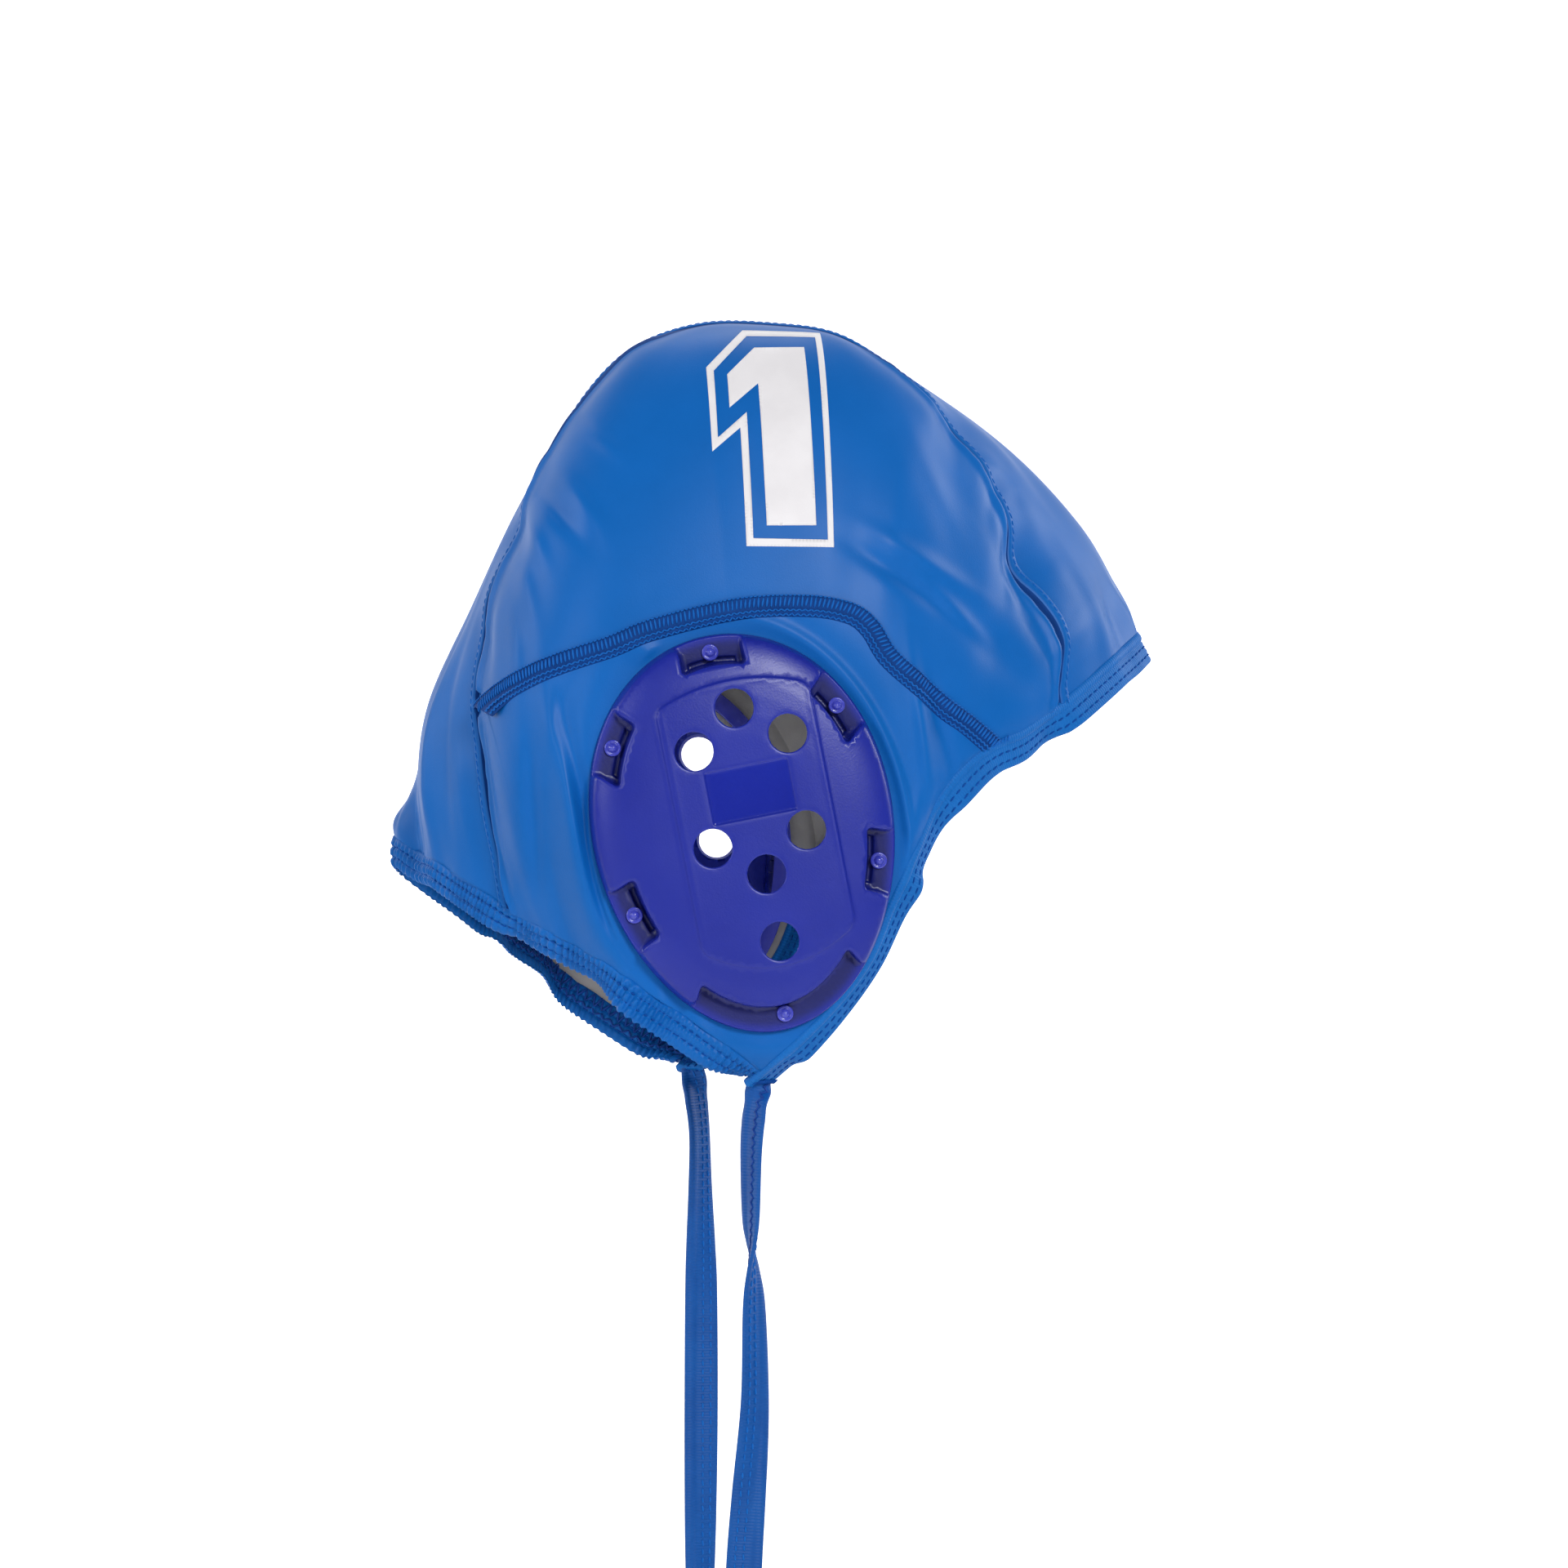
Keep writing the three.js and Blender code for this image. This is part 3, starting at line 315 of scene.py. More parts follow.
class CapSurface:
    """The cap's outer surface: the side from seam to hem, and the crown panel between the seams."""

    left_sway: float = 13.0
    left_lift: float = 4.0
    crown_bow: float = 2.2
    soft_gain: float = 1.3
    lip_height: float = 1.3
    wander_rise: float = 0.45

    def __init__(self) -> None:
        """Keeps the tables in millimetres."""
        self.guard = GuardShape()
        scale = np.array([CAP_LENGTH, CAP_HEIGHT, HALF_WIDTH])
        self.seam_rows = STATIONS[:, 0:3] * scale
        self.ridge_rows = STATIONS[:, 3:5] * scale[:2]
        self.hem_rows = STATIONS[:, 5:8] * scale
        self.values = STATIONS[:, 8:12]
        self.flatlock = FLATLOCK * scale[:2] + [0, self.guard.middle[2] + self.guard.length / 2]
        self._lookup()

    def wander(self, station: Array, away: Array) -> Array:
        """The crown seam's small shift forwards at stations, faded over a share away from the seam."""
        table = np.array(SEAM_WANDER).T
        shift = sum(np.interp(station + step, *table) for step in (-0.1, 0, 0.1)) / 3
        return shift * (1 - smooth(0, 1, away))

    def hem(self, station: Array) -> Array:
        """The hem's x, z, y at stations; it turns sharply at the flap's tip."""
        front = spline(self.hem_rows[: TIP + 1], np.minimum(station, TIP))
        nape = spline(self.hem_rows[TIP:], np.maximum(station, TIP) - TIP)
        return np.where((station <= TIP)[..., None], front, nape)

    def fold_depth(self, x: Array, z: Array, folds: tuple[Fold, ...]) -> Array:
        """The sum of the folds at places of the side."""
        total = np.zeros_like(x)
        for fold in folds:
            turn = math.radians(fold.turn)
            dx, dz = x - fold.x, z - fold.z
            along = (dz * math.cos(turn) - dx * math.sin(turn)) / fold.long
            across = (dx * math.cos(turn) + dz * math.sin(turn)) / fold.across
            total += fold.depth * np.exp(-along ** 2 - across ** 2)
        return total

    def side(self, station: Array, down: Array) -> Array:
        """Points of the right side, from the seam (down 0) to the hem (down 1)."""
        station, down = np.broadcast_arrays(np.asarray(station, float), np.asarray(down, float))
        seam, hem = spline(self.seam_rows, station), self.hem(station)
        wide, turn_at, round_, _ = np.moveaxis(spline(self.values, station), -1, 0)
        x = seam[..., 0] + (hem[..., 0] - seam[..., 0]) * down
        z = seam[..., 1] + (hem[..., 1] - seam[..., 1]) * down
        shift = self.wander(station, down / 0.14)
        x, z = x + shift, z + self.wander_rise * shift
        wide = wide * HALF_WIDTH
        bulge = np.clip(1 - (1 - np.minimum(down / turn_at, 1)) ** 2, 0, 1) ** round_
        above = seam[..., 2] + (wide - seam[..., 2]) * bulge
        below = wide + (hem[..., 2] - wide) * (np.clip(down - turn_at, 0, 1) / (1 - turn_at)) ** 2
        out = np.where(down < turn_at, above, below)
        share = self.guard.share(x, z)
        plane = -self.guard.middle[1] + self.guard.lean * (z - self.guard.middle[2])
        flat = 1 - smooth(1.07, 1.3, share)
        loose = (1 - flat) * (1 - smooth(0.85, 1, down))
        folds = loose * self.fold_depth(x, z, SIDE_FOLDS)
        near = smooth(1.02, 1.05, share) * smooth(0, 0.03, down) * (1 - smooth(0.93, 1, down))
        folds = folds + self.soft_gain * near * self.fold_depth(x, z, SOFT_FOLDS)
        lip = self.lip_height * bell(share - 1.085, 0.035) * smooth(-30, 20, x - self.guard.middle[0])
        return np.stack([x, -(out + (plane - out) * flat) - folds - lip * (1 - smooth(0.9, 1, down)), z], -1)

    def crown(self, station: Array, across: Array) -> Array:
        """Points of the crown panel, from the right seam (across -1) to the left seam (across 1)."""
        station, across = np.broadcast_arrays(np.asarray(station, float), np.asarray(across, float))
        seam, ridge = spline(self.seam_rows, station), spline(self.ridge_rows, station)
        rise = 1 - np.abs(across) ** self.crown_bow
        x = seam[..., 0] + (ridge[..., 0] - seam[..., 0]) * rise
        z = seam[..., 1] + (ridge[..., 1] - seam[..., 1]) * rise
        out = unit(ridge - seam[..., :2])
        depth = np.zeros_like(across)
        for fold in CROWN_FOLDS:
            along = (station - fold.station) / fold.long
            aside = (across - fold.across) / fold.wide
            depth += fold.depth * np.exp(-along ** 2 - aside ** 2)
        depth *= 1 - across ** 2
        shift = self.wander(station, (1 - np.abs(across)) / 0.4)
        x, z = x + shift, z + self.wander_rise * shift
        return np.stack([x + out[..., 0] * depth, across * seam[..., 2], z + out[..., 1] * depth], -1)

    def side_normal(self, station: Array, down: Array) -> Array:
        """Outward normals of the right side by differences."""
        s = np.clip(station, 0.55, LAST - 0.55)
        d = np.clip(down, 0.02, 0.98)
        along = self.side(s + 0.05, d) - self.side(s - 0.05, d)
        across = self.side(s, d + 0.02) - self.side(s, d - 0.02)
        return unit(np.cross(along, across))

    def crown_normal(self, station: Array, across: Array) -> Array:
        """Outward normals of the crown panel by differences."""
        s = np.clip(station, 0.05, LAST - 0.05)
        a = np.clip(across, -0.98, 0.98)
        along = self.crown(s + 0.05, a) - self.crown(s - 0.05, a)
        aside = self.crown(s, a + 0.02) - self.crown(s, a - 0.02)
        return -unit(np.cross(along, aside))

    def _lookup(self) -> None:
        """Keeps a coarse grid of the side, to start the search for a place from."""
        s, d = np.meshgrid(np.linspace(0.05, LAST - 0.05, 120), np.linspace(0, 1, 40), indexing="ij")
        self._grid = np.stack([s.ravel(), d.ravel()], -1)
        self._grid_xz = self.side(self._grid[:, 0], self._grid[:, 1])[:, [0, 2]]

    def at_xz(self, x: Array, z: Array) -> tuple[Array, Array]:
        """The station and the share down of places of the side given by x and z."""
        want = np.stack([x, z], -1)
        gaps = ((want[:, None] - self._grid_xz[None]) ** 2).sum(-1)
        s, d = self._grid[gaps.argmin(1)].T.copy()
        for _ in range(12):
            here = self.side(s, d)[:, [0, 2]]
            by_s = (self.side(s + 1e-3, d)[:, [0, 2]] - here) / 1e-3
            by_d = (self.side(s, d + 1e-3)[:, [0, 2]] - here) / 1e-3
            gap = want - here
            det = by_s[:, 0] * by_d[:, 1] - by_s[:, 1] * by_d[:, 0]
            det = np.where(np.abs(det) < 1e-6, 1e-6, det)
            s = s + np.clip((gap[:, 0] * by_d[:, 1] - gap[:, 1] * by_d[:, 0]) / det, -0.5, 0.5)
            d = d + np.clip((by_s[:, 0] * gap[:, 1] - by_s[:, 1] * gap[:, 0]) / det, -0.2, 0.2)
            s, d = np.clip(s, 0, LAST), np.clip(d, 0, 1)
        return s, d

    def on_side(self, x: Array, z: Array, lift: float = 0.0) -> tuple[Array, Array]:
        """Points and normals of the right side at x and z, raised by a lift."""
        s, d = self.at_xz(np.asarray(x, float), np.asarray(z, float))
        points, normals = self.side(s, d), self.side_normal(s, d)
        return points + normals * lift, normals

    def swayed(self, points: Array) -> Array:
        """The points with the left ear's sway and lift, which fade away from its guard."""
        x, y, z = np.moveaxis(points, -1, 0)
        share = self.guard.share(x, np.maximum(z, self.hem_rows[TIP, 1]))
        loose = np.where(y > 0, 1 - smooth(1.03, 2, share), 0)
        return np.stack([x - self.left_sway * loose, y, z + self.left_lift * loose], -1)

    def before_sway(self, x: Array, z: Array) -> tuple[Array, Array]:
        """Places that the left ear's sway moves onto x and z."""
        at = np.stack([x, np.ones_like(x), z], -1)
        want = at.copy()
        for _ in range(20):
            at = at + want - self.swayed(at)
        return at[:, 0], at[:, 2]

    def to_side(self, points: Array, side: Side) -> Array:
        """Points of the right side, or their mirror images on the left with its sway."""
        if side is Side.RIGHT:
            return points
        return self.swayed(points * np.array([1, -1, 1]))

    def flatlock_share(self, station: Array) -> Array:
        """How far down the side the flatlock seam crosses each station, 0 or 1 where it doesn't."""
        seam, hem = spline(self.seam_rows, station)[:, :2], self.hem(station)[:, :2]
        line = spline(self.flatlock, np.linspace(0, len(self.flatlock) - 1, 400))
        start, step = line[:-1], np.diff(line, axis=0)
        ray = hem - seam
        out = np.where(station > LAST / 2, 0.0, 1.0)
        for i, (origin, way) in enumerate(zip(seam, ray)):
            det = way[0] * -step[:, 1] + way[1] * step[:, 0]
            gap = start - origin
            det = np.where(np.abs(det) < 1e-9, 1e-9, det)
            down = (gap[:, 0] * -step[:, 1] + gap[:, 1] * step[:, 0]) / det
            part = (way[0] * gap[:, 1] - way[1] * gap[:, 0]) / det
            hit = (part >= 0) & (part <= 1) & (down > 0) & (down < 1)
            if hit.any():
                out[i] = down[hit][0]
        return out


@dataclass
class EdgePath:
    """Evenly spaced frames along an edge of the cap.

    middle is the middle of the cloth's wall, along the edge's own direction, out the way out of the cloth
    and normal outwards, both turned in by the curl; length is the running length.
    """

    middle: Array
    along: Array
    out: Array
    normal: Array
    length: Array

    @staticmethod
    def _edge_rows(surface: CapSurface, edge: EdgeName) -> tuple[Array, Array, Array, Array]:
        """Rows along an edge from the right flap's tip to the left one's, unevenly spaced.

        Args:
            surface: The cap's surface.
            edge: The front edge or the nape's.

        Returns:
            Points on the edge, points a little inside it, outward normals and the curl in radians.
        """
        front = edge is EdgeName.FRONT
        corner, inward = (0.0, 0.3) if front else (float(LAST), -0.3)
        s = np.linspace(TIP, 0.1, 260) if front else np.linspace(TIP, LAST - 0.1, 260)
        one = np.ones_like(s)
        side_rows = (surface.side(s, one), surface.side(s, one * 0.9), surface.side_normal(s, one))
        a = np.linspace(-0.985, 0.985, 120)
        here = np.full_like(a, corner)
        crown_rows = (surface.crown(here, a), surface.crown(here + inward, a),
                      surface.crown_normal(here, a))
        flip = np.array([1, -1, 1])
        at, inside, normal = (
            np.vstack([one_side, middle, (one_side * flip)[::-1]])
            for one_side, middle in zip(side_rows, crown_rows))
        curls, level = spline(surface.values, s)[:, 3], spline(surface.values, here)[:, 3]
        return at, inside, normal, np.radians(np.concatenate([curls, level, curls[::-1]]))

    @classmethod
    def follow(cls, surface: CapSurface, edge: EdgeName, step: float, run_on: float = 0.0) -> "EdgePath":
        """Frames from the right ear flap's tip to the left one's.

        Args:
            surface: The cap's surface.
            edge: The front edge or the nape's.
            step: Distance between frames.
            run_on: How far the path runs straight on past both tips.

        Returns:
            The path, before the left ear's sway.
        """
        uneven = cls._edge_rows(surface, edge)
        run = running(uneven[0])
        even = np.linspace(0, run[-1], int(run[-1] / step))
        at, inside, normal, curl = (resampled(rows, run, even) for rows in uneven)
        normal = unit(normal)
        soft = int(7 / step)
        along = unit(np.gradient(at, axis=0))
        middle = at - normal * CLOTH / 2
        flat = relaxed(normal, soft)
        flat = unit(flat - along * (flat * along).sum(-1, keepdims=True))
        across = unit(np.cross(flat, along))
        across *= np.sign((across * (at - inside)).sum(-1, keepdims=True))
        across = unit(relaxed(across, soft))
        curl = relaxed(curl, soft)
        out = across * np.cos(curl) - flat * np.sin(curl)
        normal = flat * np.cos(curl) + across * np.sin(curl)
        path = cls(middle, along, out, normal, even)
        return path.lengthened(run_on, step) if run_on else path

    def lengthened(self, run_on: float, step: float) -> "EdgePath":
        """The path with straight runs added before its first and after its last frame."""
        steps = np.arange(step, run_on + step / 2, step)
        before = self.middle[0] - self.along[0] * steps[::-1, None]
        after = self.middle[-1] + self.along[-1] * steps[:, None]

        def extend(rows: Array) -> Array:
            """The rows with their first and last ones repeated."""
            return np.pad(rows, ((len(steps), len(steps)), (0, 0)), mode="edge")

        middle = np.vstack([before, self.middle, after])
        length = np.concatenate([-steps[::-1], self.length, self.length[-1] + steps])
        return EdgePath(middle, extend(self.along), extend(self.out), extend(self.normal), length)

    def point(self, reach: float, height: float) -> Array:
        """A point of each frame at a distance out of the cloth and one above its middle."""
        return self.middle + self.out * reach + self.normal * height

    def both_faces(self, reaches: tuple[float, ...], height: float) -> list[tuple[Array, Array]]:
        """Lines on both faces at distances out of the cloth, with their upward directions."""
        return [(self.point(reach, way * height), self.normal * way) for reach in reaches for way in (1, -1)]


def add_node(tree: bpy.types.NodeTree, kind: str, inputs: dict[str | int, object] | None = None,
             **settings: object) -> bpy.types.Node:
    """Adds a node to a tree.

    Args:
        tree: The shader's or modifier's tree.
        kind: The node's type.
        inputs: A value, or the socket that feeds it, for each named or numbered input.
        settings: The node's own properties.

    Returns:
        The new node.
    """
    node = tree.nodes.new(kind)
    for name, value in settings.items():
        setattr(node, name, value)
    for name, value in (inputs or {}).items():
        if isinstance(value, bpy.types.NodeSocket):
            tree.links.new(value, node.inputs[name])
        else:
            node.inputs[name].default_value = value
    return node


def add_object(name: str, data: bpy.types.ID) -> bpy.types.Object:
    """Adds an object with a mesh, camera or light to the scene."""
    obj = bpy.data.objects.new(name, data)
    bpy.context.scene.collection.objects.link(obj)
    return obj


@dataclass(frozen=True)
class Finish:
    """A material: its own name, colours, gloss and the relief of its surface.

    color and second are the two linear colours that a soft noise mixes; grain is the size of the fine relief
    in millimetres and depth its height; rib is the spacing of ribs along the piece's U, 0 for none.
    """

    name: str
    color: tuple[float, float, float]
    second: tuple[float, float, float]
    roughness: float
    sheen: float = 0.0
    sheen_tint: tuple[float, float, float] = (1.0, 1.0, 1.0)
    grain: float = 0.5
    depth: float = 0.05
    mottle: float = 18.0
    rib: float = 0.0
    rib_depth: float = 0.15
    subsurface: float = 0.0
    specular: float = 0.5
    gloss_mask: bool = False
    # The mask below darkens the colour where the piece's attribute says: painted shade, on the guard's
    # pocket floors.
    painted_shade_mask: bool = False

    def build(self) -> bpy.types.Material:
        """Makes the material, or gives the one already made under its name."""
        found = bpy.data.materials.get(self.name)
        if found:
            return found
        material = bpy.data.materials.new(self.name)
        material.use_nodes = True
        tree = material.node_tree
        shader = tree.nodes["Principled BSDF"]
        fixed = {
            "Specular IOR Level": self.specular, "Sheen Weight": self.sheen, "Sheen Roughness": 0.4,
            "Sheen Tint": (*self.sheen_tint, 1), "Subsurface Weight": self.subsurface,
            "Subsurface Radius": (0.25, 0.3, 1.0), "Subsurface Scale": 0.002,
        }
        for name, value in fixed.items():
            shader.inputs[name].default_value = value
        self._colour(tree, shader)
        self._gloss(tree, shader)
        self._relief(tree, shader)
        return material

    def _noise(self, tree: bpy.types.NodeTree, size: float, detail: float = 2.0) -> bpy.types.Node:
        """A noise over the piece whose features are size millimetres across."""
        where = add_node(tree, "ShaderNodeTexCoord").outputs["Object"]
        scale = 1000 / size
        return add_node(tree, "ShaderNodeTexNoise", {"Scale": scale, "Detail": detail, "Vector": where})

    def _colour(self, tree: bpy.types.NodeTree, shader: bpy.types.Node) -> None:
        """Mixes the two colours softly over the surface, with painted shade where the piece's mask attribute
        says.
        """
        noise = self._noise(tree, self.mottle, 4)
        ramp = add_node(tree, "ShaderNodeValToRGB", {"Fac": noise.outputs["Fac"]})
        for stop, place, color in zip(ramp.color_ramp.elements, (0.35, 0.68), (self.color, self.second)):
            stop.position, stop.color = place, (*color, 1)
        last = ramp.outputs["Color"]
        # Painted shade: the colour darkened to 0.45 of itself where the mask attribute is set.
        if self.painted_shade_mask:
            mask = add_node(tree, "ShaderNodeAttribute", attribute_name="pocket_shade").outputs["Fac"]
            dark = (*(0.45 * c for c in self.color), 1)
            last = add_node(tree, "ShaderNodeMix", {0: mask, 6: last, 7: dark}, data_type="RGBA").outputs[2]
        tree.links.new(last, shader.inputs["Base Color"])

    def _gloss(self, tree: bpy.types.NodeTree, shader: bpy.types.Node) -> None:
        """Varies the roughness a little, and polishes where the piece's gloss attribute says."""
        noise = self._noise(tree, self.mottle * 0.6)
        last = add_node(tree, "ShaderNodeMapRange", {
            "Value": noise.outputs["Fac"], "To Min": self.roughness - 0.05,
            "To Max": self.roughness + 0.05}).outputs["Result"]
        if self.gloss_mask:
            mask = add_node(tree, "ShaderNodeAttribute", attribute_name="gloss")
            last = add_node(tree, "ShaderNodeMapRange", {
                "Value": mask.outputs["Fac"], "To Min": last, "To Max": 0.16}).outputs["Result"]
        tree.links.new(last, shader.inputs["Roughness"])

    def _relief(self, tree: bpy.types.NodeTree, shader: bpy.types.Node) -> None:
        """Adds the fine grain and, where the finish has them, ribs across the piece."""
        grain = self._noise(tree, self.grain, 3).outputs["Fac"]
        bump = add_node(tree, "ShaderNodeBump", {
            "Strength": 1.0, "Distance": self.depth * MM, "Height": grain})
        if self.rib:
            wave = add_node(tree, "ShaderNodeTexWave", {
                "Vector": add_node(tree, "ShaderNodeUVMap").outputs["UV"], "Distortion": 0.4, "Detail": 1.0,
                "Scale": math.pi / 10 * 1000 / self.rib}, bands_direction="X")
            bump = add_node(tree, "ShaderNodeBump", {
                "Strength": 1.0, "Distance": self.rib_depth * MM, "Height": wave.outputs["Fac"],
                "Normal": bump.outputs["Normal"]})
        tree.links.new(bump.outputs["Normal"], shader.inputs["Normal"])


THREAD_GRAIN = {"grain": 0.5, "depth": 0.01}
TAPE_WEAVE = {"sheen": 0.03, "sheen_tint": (0.6, 0.7, 1.0), "grain": 0.3, "depth": 0.02, "mottle": 12,
              "rib": 0.9, "rib_depth": 0.06}
CLOTH_FACE = Finish("cap_cloth", (0.003, 0.118, 0.44), (0.005, 0.13, 0.48), 0.41, grain=0.45, depth=0.03,
                    mottle=30, specular=0.15)
CLOTH_REVERSE = Finish("cloth_reverse", (0.34, 0.33, 0.32), (0.4, 0.39, 0.38), 0.85, sheen=0.2, grain=0.4,
                       depth=0.06, mottle=9)
TAPE = Finish("ribbed_tape", (0.002, 0.13, 0.47), (0.004, 0.145, 0.51), 0.55, specular=0.2, **TAPE_WEAVE)
TIE_TAPE = Finish("tie_tape", (0.002, 0.075, 0.33), (0.003, 0.09, 0.37), 0.5, specular=0.25, **TAPE_WEAVE)
THREAD = Finish("seam_thread", (0.004, 0.115, 0.46), (0.006, 0.13, 0.5), 0.6, sheen=0.02, mottle=4,
                specular=0.15, **THREAD_GRAIN)
# Stitch thread darker than the tape's own blue: painted shade of the stitch holes, so the rows read as dark
# dashes.
SHADED_STITCH = Finish("stitch_thread_painted_shade", (0.004, 0.065, 0.31), (0.005, 0.075, 0.35), 0.7, mottle=4, specular=0.1,
                **THREAD_GRAIN)
# A dark seam colour, painted shade: in the grooves beside the crown seams and between the flatlock's loops.
SEAM_SHADE = Finish("seam_painted_shade", (0.002, 0.045, 0.22), (0.003, 0.052, 0.25), 0.7, mottle=5, specular=0.15,
                     **THREAD_GRAIN)
OVERLOCK = Finish("overlock_thread", (0.004, 0.04, 0.24), (0.006, 0.06, 0.32), 0.6, sheen=0.05, grain=0.5,
                  depth=0.02, mottle=3, specular=0.2)
# The guard's colour is darkened on its pocket floors by a mask: painted shade.
GUARD_PLASTIC = Finish("guard_plastic", (0.008, 0.018, 0.3), (0.01, 0.022, 0.335), 0.36, grain=0.55,
                       depth=0.035, mottle=26, subsurface=0.2, specular=0.45, gloss_mask=True,
                       painted_shade_mask=True)
PIN_PLASTIC = Finish("pin_plastic", (0.05, 0.06, 0.46), (0.07, 0.08, 0.52), 0.16, grain=0.8, depth=0.02,
                     mottle=6, subsurface=0.3, specular=0.6)
PRINT = Finish("cap_print", (0.8, 0.78, 0.8), (0.86, 0.84, 0.86), 0.55, grain=0.5, depth=0.03, mottle=14)


class MeshPiece:
    """Builds one mesh piece from points in millimetres."""

    def __init__(self, name: str, finishes: list[Finish]) -> None:
        """Keeps the piece's name and the finishes of its material slots."""
        self.name = name
        self.finishes = finishes

    def make(self, verts: Array, faces: list, uv: Array | None = None, slots: Array | None = None,
             attributes: dict[str, Array] | None = None) -> bpy.types.Object:
        """Makes the object.

        Args:
            verts: Points in millimetres.
            faces: Vertex numbers of each face, outwards.
            uv: A place in the piece's own map for each vertex, in metres.
            slots: The material slot of each face.
            attributes: Named values, one for each vertex.

        Returns:
            The new object, smooth shaded, at the origin.
        """
        mesh = bpy.data.meshes.new(self.name)
        mesh.from_pydata((np.asarray(verts) * MM).tolist(), [], [list(map(int, f)) for f in faces])
        for finish in self.finishes:
            mesh.materials.append(finish.build())
        mesh.polygons.foreach_set("use_smooth", [True] * len(mesh.polygons))
        if slots is not None:
            mesh.polygons.foreach_set("material_index", np.asarray(slots, np.int32))
        if uv is not None:
            layer = mesh.uv_layers.new(name="UVMap")
            corner = np.zeros(len(mesh.loops), np.int32)
            mesh.loops.foreach_get("vertex_index", corner)
            layer.data.foreach_set("uv", np.asarray(uv, np.float32)[corner].ravel())
        for key, values in (attributes or {}).items():
            layer = mesh.attributes.new(key, "FLOAT", "POINT")
            layer.data.foreach_set("value", np.asarray(values, np.float32))
        mesh.update()
        return add_object(self.name, mesh)


def grid_faces(rows: int, columns: int, flip: bool = False, ring: bool = False) -> list[tuple[int, ...]]:
    """Quads of a grid of vertices.

    Args:
        rows: Number of rows.
        columns: Number of vertices in a row.
        flip: Turns the faces round.
        ring: Closes each row on itself.

    Returns:
        Four vertex numbers for each quad.
    """
    r, c = np.meshgrid(np.arange(rows - 1), np.arange(columns if ring else columns - 1), indexing="ij")
    r, c = r.ravel(), c.ravel()
    n = (c + 1) % columns
    quads = np.stack([r * columns + c, r * columns + n, (r + 1) * columns + n, (r + 1) * columns + c], -1)
    return (quads[:, ::-1] if flip else quads).tolist()


def flat_grid(low: tuple[float, float], high: tuple[float, float], step: float) -> Array:
    """Places of a square grid between two corners."""
    across, along = (np.arange(a, b, step) for a, b in zip(low, high))
    return np.stack(np.meshgrid(across, along), -1).reshape(-1, 2)


def triangulate(points: list[Array], edges: list[tuple[int, int]]) -> tuple[Array, Array]:
    """Places and triangles of a flat mesh through points that keeps the given edges."""
    flat, _, faces, *_ = delaunay_2d_cdt([Vector(p) for p in points], edges, [], 0, 1e-5)
    return np.array([list(p) for p in flat]), np.array([list(f) for f in faces])


def tidy_mesh(obj: bpy.types.Object, distance: float = 0.02) -> None:
    """Merges doubles closer than a distance in millimetres and drops faces without an area."""
    mesh = bmesh.new()
    mesh.from_mesh(obj.data)
    bmesh.ops.remove_doubles(mesh, verts=mesh.verts, dist=distance * MM)
    bmesh.ops.dissolve_degenerate(mesh, edges=mesh.edges, dist=distance * MM * 0.5)
    loose = [v for v in mesh.verts if not v.link_faces]
    bmesh.ops.delete(mesh, geom=loose, context="VERTS")
    mesh.to_mesh(obj.data)
    mesh.free()


def solidify(obj: bpy.types.Object, thickness: float, reverse_slot: int = 0) -> None:
    """Gives an open sheet a wall inwards, with its reverse in another material slot."""
    modifier = obj.modifiers.new("wall", "SOLIDIFY")
    modifier.thickness = thickness * MM
    modifier.offset = -1
    modifier.use_even_offset = False
    modifier.material_offset = reverse_slot
    modifier.material_offset_rim = 0


def band_mesh(piece: MeshPiece, points: Array, length: Array, girth: Array, flip: bool) -> bpy.types.Object:
    """A closed tube from rings of points.

    Args:
        piece: The piece to make.
        points: Rings along the path, each with the same number of points.
        length: Running length of each ring in millimetres.
        girth: Running length round the ring of each of its points in millimetres.
        flip: Turns the faces round.

    Returns:
        The tube, capped at both ends.
    """
    rings, sides = points.shape[:2]
    faces = grid_faces(rings, sides, flip, ring=True)
    first, last = list(range(sides)), list(range((rings - 1) * sides, rings * sides))
    faces += [first if flip else first[::-1], last[::-1] if flip else last]
    uv = np.stack(np.meshgrid(length * MM, girth * MM, indexing="ij"), -1).reshape(-1, 2)
    return piece.make(points.reshape(-1, 3), faces, uv=uv)


